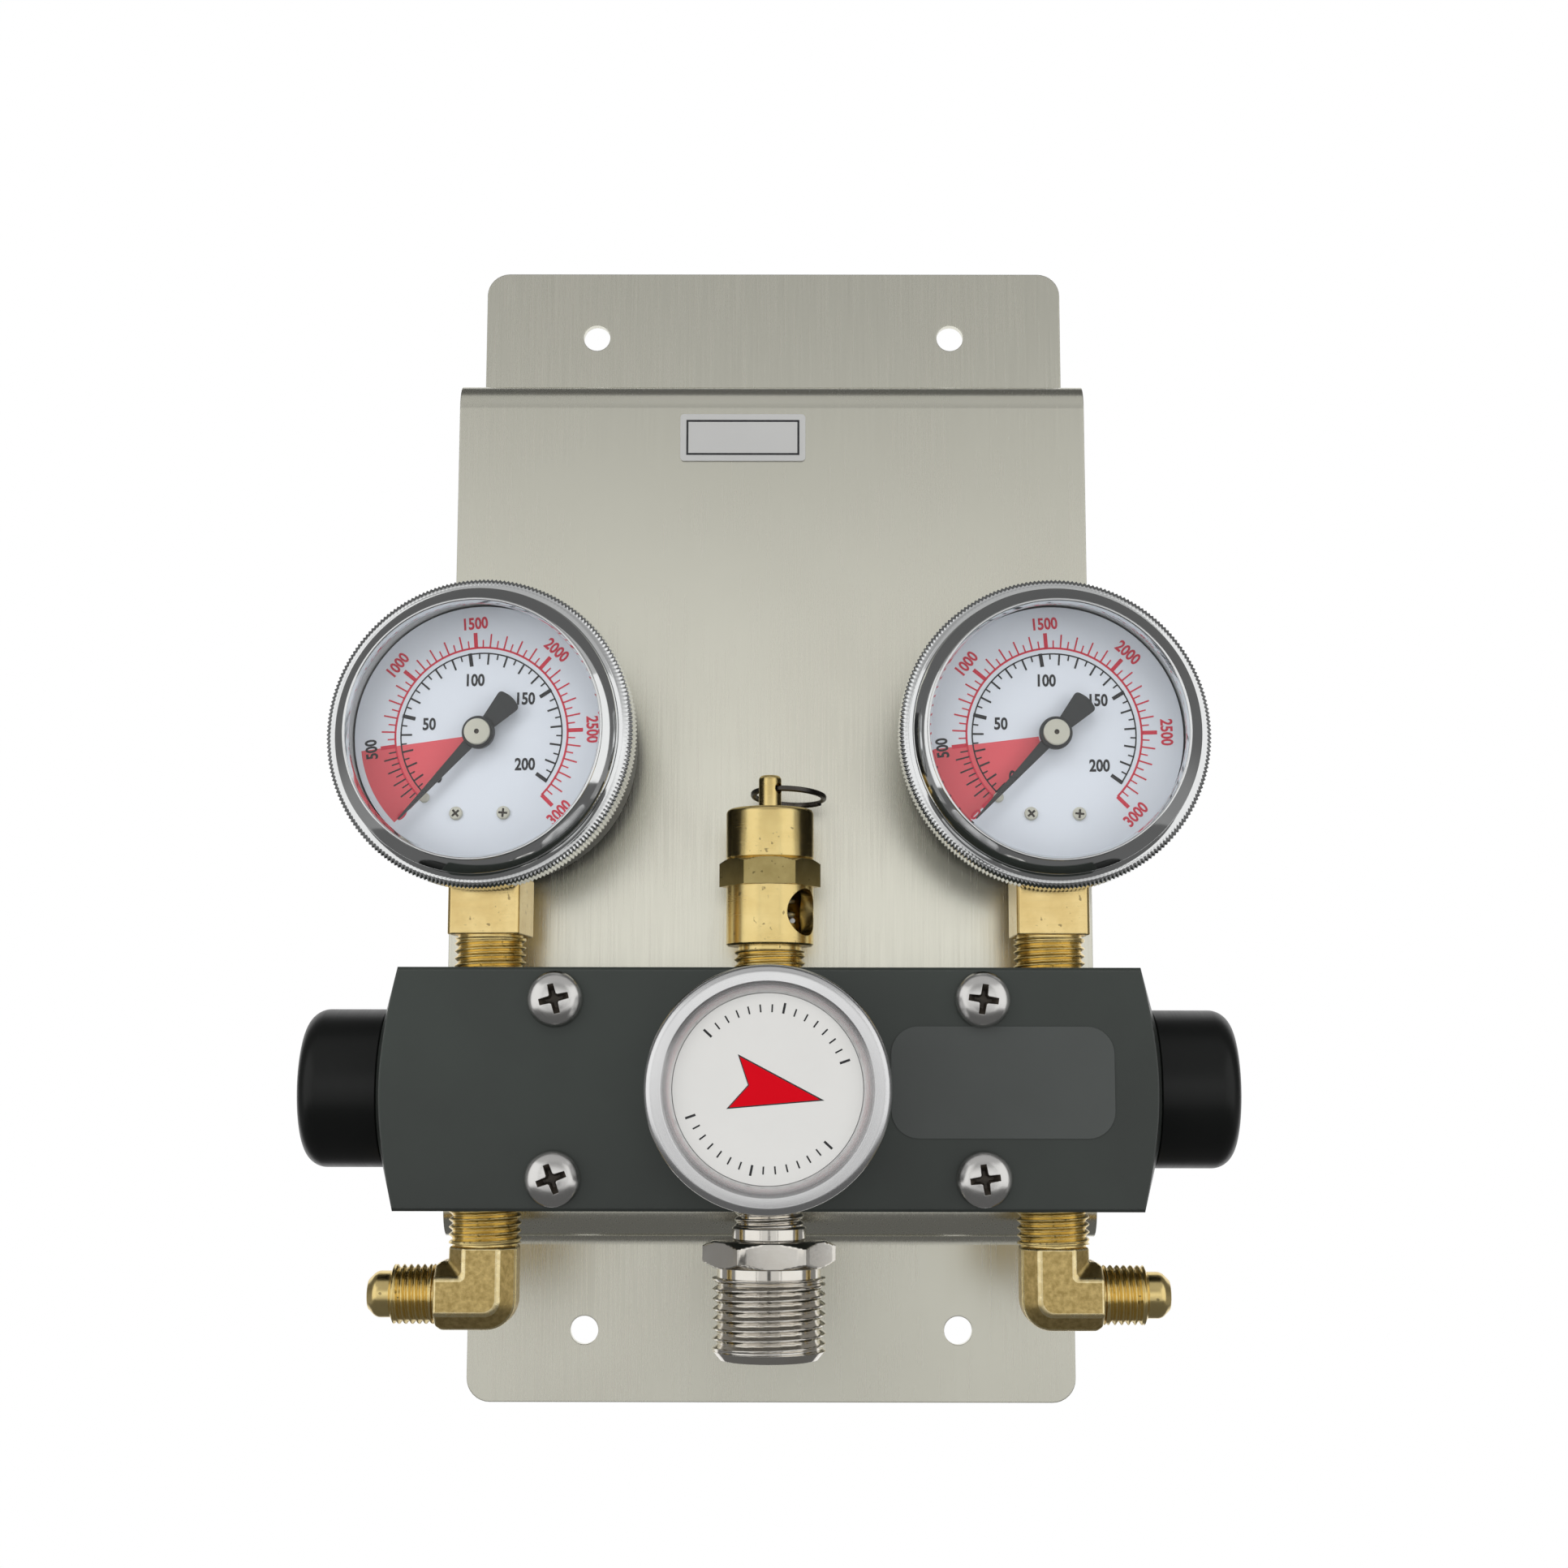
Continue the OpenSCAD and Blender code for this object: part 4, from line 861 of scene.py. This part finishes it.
flare += arc(nose_tip - 2.4, nose_r - nose_round, nose_round, 8, 50, 6)
flare += from_z(nose_tip, (-0.1, flare_bore + 0.5), (0, flare_bore + 0.35),
                (0, flare_bore + 0.15), (-0.3, flare_bore))
flare += [(leg_end + 2, flare_bore), (leg_end + 2, 0)]
for side, sign in SIDES.items():
    sections = []
    for outer, outer_face, inner_face, inner in rails:
        section = [(outer, -flat), (outer_face, -leg_half), (inner_face, -leg_half), (inner, -flat),
                   (inner, flat), (inner_face, leg_half), (outer_face, leg_half), (outer, flat)]
        sections.append([(sign * x, depth - axis_d, z) for (x, z), depth in section])
    forged = built(side + "_elbow", loft_data(sections), forged_brass,
                   replaces=[side + "_inlet_elbow"], slot="brass")
    # The rounded edges take the brighter brass, partly wear and partly painted highlight
    soften(forged, 0.6, edge_finish=rubbed_and_highlit_brass)
    turned(side + "_elbow_pipe_thread", pipe, brass, upright(sign * port_x), slot="brass")
    turned(side + "_elbow_flare", flare, brass, along_x(sign, flare_z), slot="brass")

# Outlet
outlet_low, outlet_high = box_mm("outlet_fitting")
outlet_r = 10.8
outlet_bore = 4.5
outlet_flats = 22
outlet_hex = body_low.z - 6.25
outlet_under = outlet_hex - 5.0
outlet_thread = outlet_under - 2.0
outlet_end = outlet_low.z + 1.6
neck = 6.6
profile = [(outlet_low.z, outlet_bore), (outlet_low.z, outlet_r - 1.4)]
profile += threaded(outlet_end, outlet_thread, outlet_r, OUTLET_PITCH, 1.05)
profile += [(outlet_thread + 0.1, outlet_r - 0.95), (outlet_under, outlet_r - 0.95)]
profile += hexed(outlet_under, outlet_hex, outlet_flats)
profile += from_z(outlet_hex, (0, neck + 0.35), (0.2, neck + 0.5), (2.2, neck + 0.5), (2.5, neck + 0.2))
profile += threaded(outlet_hex + 2.6, outlet_high.z - 0.5, neck, PIPE_PITCH, 0.6)
profile += [(outlet_high.z, neck - 0.5), (outlet_high.z, outlet_bore)]
turned("outlet", profile, nickel, upright(0) @ rotated(3, "Z"),
       closed=True, replaces=["outlet_fitting"], slot="nickel", segments=144)

# Gas plate border
plate_low, plate_high = box_mm("gas_label")
plate_mid = (plate_low + plate_high) / 2
frame_w, frame_h, line = 11.75, 3.75, 0.42
open_w, open_h = frame_w - line, frame_h - line
border = []
for low, high in (((-frame_w, open_h), (frame_w, frame_h)), ((-frame_w, -frame_h), (frame_w, -open_h)),
                  ((-frame_w, -open_h), (-open_w, open_h)), ((open_w, -open_h), (frame_w, open_h))):
    border.append(([low, (high[0], low[1]), high, (low[0], high[1])], [(0, 1, 2, 3)]))
printed("gas_plate_border", border, -plate_low.y + 0.03, ink_black,
        face_y(plate_mid.x, plate_mid.z), slot="plate_grey")

# Gauges, with the step, inner and outer radius and width of the marks of both scales
outer_full = 3000
inner_full = 200
inner_unit = 14.504
outer_marks = ((500, 16.8, 19.75, 0.74), (100, 16.8, 19.5, 0.30), (50, 16.8, 18.3, 0.26))
inner_marks = ((50, 13.3, 15.9, 0.72), (10, 13.5, 15.8, 0.36), (5, 14.6, 15.8, 0.28))
inner_numbers = ((0, -8.1, -8.1), (50, -10.2, 2.1), (100, -1.5, 10.5), (150, 8.4, 6.75), (200, 8.6, -5.9))
dial_screws = ((-4.6, -15.2, 1.3), (4.6, -15.2, 1.3), (-10.8, -12.1, 1.0))
pointer_rest = 227


def gauge_reach(side, node):
    """Back, front, least and largest radius of a gauge's node in the gauge's frame, in millimetres."""
    inverse = gauge_place(side).inverted()
    points = [inverse @ vertex.co / MM for vertex in nodes[f"{side}_{node}"].data.vertices]
    forward = [point.z for point in points]
    radius = [math.hypot(point.x, point.y) for point in points]
    return min(forward), max(forward), min(radius), max(radius)


def scale_turn(value):
    """Angle of a value of the outer scale: the first sixth is a little shorter than the others."""
    if value <= 500:
        return 225.4 - 38.2 * value / 500
    return 187.2 - 46.4 * (value - 500) / 500


def scale_mark(value, at, marks):
    """The first of the marks whose step divides the value."""
    inner, outer, width = next(mark[1:] for mark in marks if value % mark[0] == 0)
    return tick(inner, outer, at, width)


for side in SIDES:
    place = gauge_place(side)
    base = Vector(joints[side + "_pointer_turn"]["pos_m"]) / MM
    back, front, window, grip_r = gauge_reach(side, "gauge_bezel")
    dial_f = gauge_reach(side, "gauge_dial")[1]
    pointer_reach = gauge_reach(side, "pointer")
    hub_f, tip_r = pointer_reach[1], pointer_reach[3]
    bore_r = gauge_reach(side, "gauge_case")[3] + 0.05

    # Bezel: a knurled grip ring behind a polished cone
    grip_f = back + 5.5
    ring_r = bore_r + 1.45
    cone_r = bore_r + 0.7
    crest_r = window + 0.7
    ridges = knurl(230, 0.36)
    fine_ridges = knurl(230, 0.16)
    profile = [(back, bore_r), (back, grip_r - 0.5), (back + 0.4, grip_r, ridges)]
    profile += [(back + 0.4 + (grip_f - back - 1.2) * i / 3, grip_r, ridges) for i in range(1, 4)]
    profile += from_z(grip_f, (-0.35, grip_r - 0.45, ridges), (-0.05, grip_r - 0.95, fine_ridges),
                      (0, grip_r - 1.2), (0, ring_r), (0.35, cone_r + 0.25), (0.6, cone_r))
    profile += from_z(front, (-2.3, cone_r), (-2.1, cone_r - 0.06), (-0.25, crest_r + 0.25))
    profile += arc(front - 0.3, crest_r, 0.3, 45, 170, 6)
    profile += from_z(front, (-0.9, window + 0.1), (-1.2, window), (-1.75, window), (-1.75, bore_r))
    turned(side + "_bezel", profile, chrome, place, segments=920, closed=True,
           replaces=[side + "_gauge_bezel"], slot="chrome")

    # Stem: square with a pipe thread, and the block inside the case
    square_top, square_low = -26.7, body_high.z + 6.85 - base.z
    foot = body_high.z - 10.95 - base.z
    half = 7.0
    neck_r = 5.5
    gas_r = 1.5
    shape = join_data(box_data((-half, -half, square_low), (half, half, square_top), 0.7),
                      box_data((-6, -2.4, -24), (6, 6, -9)),
                      rod_data(square_top - 0.2, -23.5, neck_r, neck_r, 48))
    stem_place = place @ rotated(-90, "X")
    stem = built(side + "_gauge_stem", shape, milled_brass, stem_place,
                 replaces=[side + "_gauge_socket"], slot="brass")
    soften(stem, 0.3)
    profile = [(foot, gas_r), (foot, pipe_r - 0.6)]
    profile += threaded(foot + 0.6, square_low - 0.5, pipe_r, PIPE_PITCH, 0.66)
    profile += from_z(square_low, (-0.4, pipe_r - 0.6), (0.5, pipe_r - 0.6), (0.5, gas_r))
    turned(side + "_gauge_thread", profile, brass, stem_place, closed=True, slot="brass")

    # Dial print
    red = [band(16.6, 16.98, scale_turn(0), scale_turn(outer_full), 90)]
    black = [band(15.55, 15.82, scale_turn(0), scale_turn(inner_full * inner_unit), 90)]
    for value in range(0, outer_full + 1, 50):
        ink = black if 0 < value < 500 else red
        ink.append(scale_mark(value, scale_turn(value), outer_marks))
    for value in range(0, inner_full + 1, 5):
        black.append(scale_mark(value, scale_turn(value * inner_unit), inner_marks))
    for value in range(0, outer_full + 1, 500):
        at = scale_turn(value)
        x, y = polar(21.6, at)
        turn = at - 90 if -20 < at < 200 else at + 90
        (black if value == 500 else red).append(number(str(value), 2.4, x, y, turn))
    for value, x, y in inner_numbers:
        black.append(number(str(value), 2.45, x, y))
    wedge = [band(3.0, 23.6, scale_turn(0), scale_turn(500), 16)]
    for name, parts, lift, ink in (("wedge", wedge, 0.02, ink_wedge), ("red", red, 0.04, ink_red),
                                   ("black", black, 0.05, ink_black)):
        printed(f"{side}_dial_{name}", parts, dial_f + lift, ink, place)

    # Dial screws and stop pin
    for index, (x, y, r) in enumerate(dial_screws):
        profile = [(dial_f - 0.3, 0), (dial_f - 0.3, r)] + arc(dial_f + 0.15, r - 0.35, 0.35, 0, 90, 4)
        profile += [(dial_f + 0.5, 0)]
        pin = turned(f"{side}_dial_screw_{index + 1}", profile, champagne,
                     place @ moved(x, y, 0), segments=32, slot="white_dial")
        for turn in (40, 130) if index < 2 else ():
            pin_slot = mesh_from("slot", *box_data((-0.85, -0.2, dial_f + 0.15), (0.85, 0.2, dial_f + 1)))
            pin_slot.transform(rotated(turn + 45 * index, "Z"))
            cut(pin, pin_slot, lining=recess_painted_shade)

    # Pointer: a slim blade and a fan tail on a hub, and the hub's cap
    blade_f = hub_f - 1.8
    hub_r = 3.15
    step_r = 2.65
    outline = [(tip_r, 0.15), (2.0, 1.1), (-2.0, 1.35)] + arc(-8.1, 1.65, 0.8, 15, -75, 6)
    outline += [(-9.1, 1.0), (-9.2, 0.4)]
    profile = [(blade_f - 0.2, 0), (blade_f - 0.2, hub_r - 0.25), (blade_f, hub_r)]
    profile += arc(blade_f + 0.8, hub_r - 0.4, 0.4, 0, 90, 5)
    profile += [(blade_f + 1.2, step_r), (hub_f - 0.5, step_r), (hub_f - 0.5, 0)]
    shape = join_data(bar_data(outline, blade_f, blade_f + 0.4), turned_data(profile, 64))
    built(side + "_pointer_blade", shape, pointer_black, place @ rotated(pointer_rest, "Z"),
          body=side + "_needle", replaces=[side + "_pointer"], slot="black_case")
    cap_top = hub_f + 0.15
    profile = [(hub_f - 0.55, 0), (hub_f - 0.55, 2.5)] + arc(cap_top - 0.2, 2.3, 0.2, 0, 90, 4)
    profile += [(cap_top, 0)]
    hub_cap = turned(side + "_pointer_cap", profile, champagne, place, segments=48,
                     body=side + "_needle", slot="black_case")
    dot = mesh_from("dot", *rod_data(cap_top - 0.3, cap_top + 0.2, 0.45, 0.5, 24))
    cut(hub_cap, dot, lining=recess_painted_shade)


# Studio: a white sweep all round, soft lamps, and dark cards that only reflections see
def seen_white(tree):
    """1 for camera, glossy and transmission rays, which see the white background."""
    path = add_node(tree, "LightPath").outputs
    seen = path["Is Camera Ray"]
    for kind in ("Is Glossy Ray", "Is Transmission Ray"):
        seen = add_node(tree, "Math", {0: seen, 1: path[kind]}, operation="MAXIMUM").outputs[0]
    return seen


world = bpy.data.worlds.new("studio")
bpy.context.scene.world = world
world.use_nodes = True
tree = world.node_tree
background = tree.nodes["Background"]
level = add_node(tree, "MapRange", {"Value": seen_white(tree), "To Min": 0.72, "To Max": 1.0})
tree.links.new(level.outputs[0], background.inputs["Strength"])
background.inputs["Color"].default_value = rgb(1, 1, 1)

# Soft boxes, which reflections don't see
lamp_target = Vector((0, -0.05, -0.02))
for name, spot, size, power in (("left_box", (-1.0, -0.72, 0.30), (0.45, 1.0), 4.4),
                                ("right_box", (1.0, -0.72, 0.20), (0.45, 1.0), 3.4),
                                ("top_box", (-0.15, -0.85, 0.95), (0.9, 0.4), 3.6)):
    data = bpy.data.lights.new(name, "AREA")
    data.shape = "RECTANGLE"
    data.size, data.size_y = size
    data.energy = power
    light = add_object(name, data)
    light.location = spot
    light.rotation_euler = (lamp_target - Vector(spot)).to_track_quat("-Z", "Y").to_euler()
    light.visible_glossy = False


def glow(name, level):
    """A surface of one brightness, or of a list of (height, brightness)."""
    material, tree = bare_material(name)
    emission = add_node(tree, "Emission", {"Color": rgb(1, 1, 1)})
    add_node(tree, "OutputMaterial", {"Surface": emission.outputs[0]})
    if isinstance(level, float):
        emission.inputs["Strength"].default_value = level
        return material
    low, high = level[0][0], level[-1][0]
    point = add_node(tree, "TexCoord").outputs["Object"]
    height = add_node(tree, "SeparateXYZ", {0: point}).outputs["Z"]
    share = add_node(tree, "MapRange", {"Value": height, "From Min": low, "From Max": high})
    ramp = add_node(tree, "ValToRGB", {0: share.outputs[0]})
    ramp.color_ramp.interpolation = "EASE"
    stops = ramp.color_ramp.elements
    for index, (z, bright) in enumerate(level):
        stop = stops[index] if index < 2 else stops.new(1.0)
        stop.position = (z - low) / (high - low)
        stop.color = rgb(bright, bright, bright)
    tree.links.new(ramp.outputs[0], emission.inputs["Color"])
    return material


def card(name, points, faces, level):
    """A card that only reflections see."""
    mesh = bpy.data.meshes.new(name)
    mesh.from_pydata(points, [], faces)
    mesh.materials.append(glow(name, level))
    piece = add_object(name, mesh)
    piece.visible_camera = False
    piece.visible_diffuse = False
    piece.visible_shadow = False
    piece.visible_transmission = False


def strip(name, degrees, width, low, high, level, radius=1.5):
    """An upright strip in front, turned to the right by degrees."""
    x, y = polar(radius, degrees - 90)
    dx, dy = polar(width / 2, degrees)
    corners = ((-1, low), (1, low), (1, high), (-1, high))
    card(name, [(x + side * dx, y + side * dy, z) for side, z in corners], [(0, 1, 2, 3)], level)


def board(name, left, right, near, far, level):
    """A flat card from left to right, between two edges (y, z)."""
    points = [(left, *near), (right, *near), (right, *far), (left, *far)]
    card(name, points, [(0, 1, 2, 3)], level)


side_levels = [(-0.9, 0.42), (-0.25, 0.26), (0.1, 0.14), (0.9, 0.12)]
front_levels = [(-0.9, 0.50), (-0.25, 0.68), (0.0, 1.0), (0.15, 1.0), (0.30, 0.82), (0.45, 0.60),
                (0.65, 0.40), (0.85, 0.38), (1.1, 0.45)]

# A tube round the line of sight
hood_r, hood_back, hood_front, hood_steps = 0.9, 0.60, -0.23, 64
points, faces = [], []
for i in range(hood_steps):
    x, z = polar(hood_r, 360 * i / hood_steps)
    points += [(x, hood_back, z), (x, hood_front, z)]
    j = (i + 1) % hood_steps
    faces.append((2 * i, 2 * j, 2 * j + 1, 2 * i + 1))
card("dark_sides", points, faces, side_levels)
strip("dim_front", 0, 1.30, -0.9, 1.1, front_levels, 1.6)
board("dark_camera", -0.026, 0.034, (-0.52, -0.17), (-0.52, -0.115), 0.03)
board("dim_top", -1.2, 1.2, (-1.6, 1.1), (-0.23, 0.95), 0.5)
strip("dark_left", -26, 0.035, -0.9, 0.9, 0.08)
strip("dark_right", 26, 0.035, -0.9, 0.9, 0.08)
board("dark_low", -1.2, 1.2, (-1.4, -0.62), (0.4, -0.40), 0.13)

# Floor: white far out, and a little less in the middle, where it keeps the object's shadow
floor_half, floor_z = 2.5, -0.70
floor_mesh = bpy.data.meshes.new("floor")
corners = ((-1, -1), (1, -1), (1, 1), (-1, 1))
floor_mesh.from_pydata([(x * floor_half, y * floor_half, floor_z) for x, y in corners], [], [(0, 1, 2, 3)])
floor = add_object("floor", floor_mesh)
pale = Finish("pale_floor", Base_Color=rgb(0.82, 0.82, 0.82), Roughness=0.8)
reach = pale.add("VectorMath", {0: pale.place()}, operation="LENGTH").outputs["Value"]
fade = pale.spread(reach, 0.75, 1.0, -floor_z, floor_half * 0.9)
both = pale.add("Math", {0: seen_white(pale.tree), 1: fade}, operation="MULTIPLY").outputs[0]
white = pale.add("Emission", {"Strength": 1.0}).outputs[0]
blend = pale.add("MixShader", {0: both, 1: pale.shader.outputs[0], 2: white}).outputs[0]
pale.tree.links.new(blend, pale.tree.nodes["Material Output"].inputs["Surface"])
floor_mesh.materials.append(pale.material)

# Camera, as fitted to the photograph
sensor = 36.0
focal_px = 2758.4
photo_px = 1932
camera_data = bpy.data.cameras.new("camera")
camera_data.sensor_width = sensor
camera_data.lens = focal_px / photo_px * sensor
camera_data.clip_start = 0.01
camera = add_object("camera", camera_data)
camera.location = (0.0037, -0.4923, -0.0571)
camera.rotation_euler = (math.pi / 2 + 0.1319, -0.0015, 0.0021)
bpy.context.scene.camera = camera
bpy.context.scene.view_settings.view_transform = "Standard"
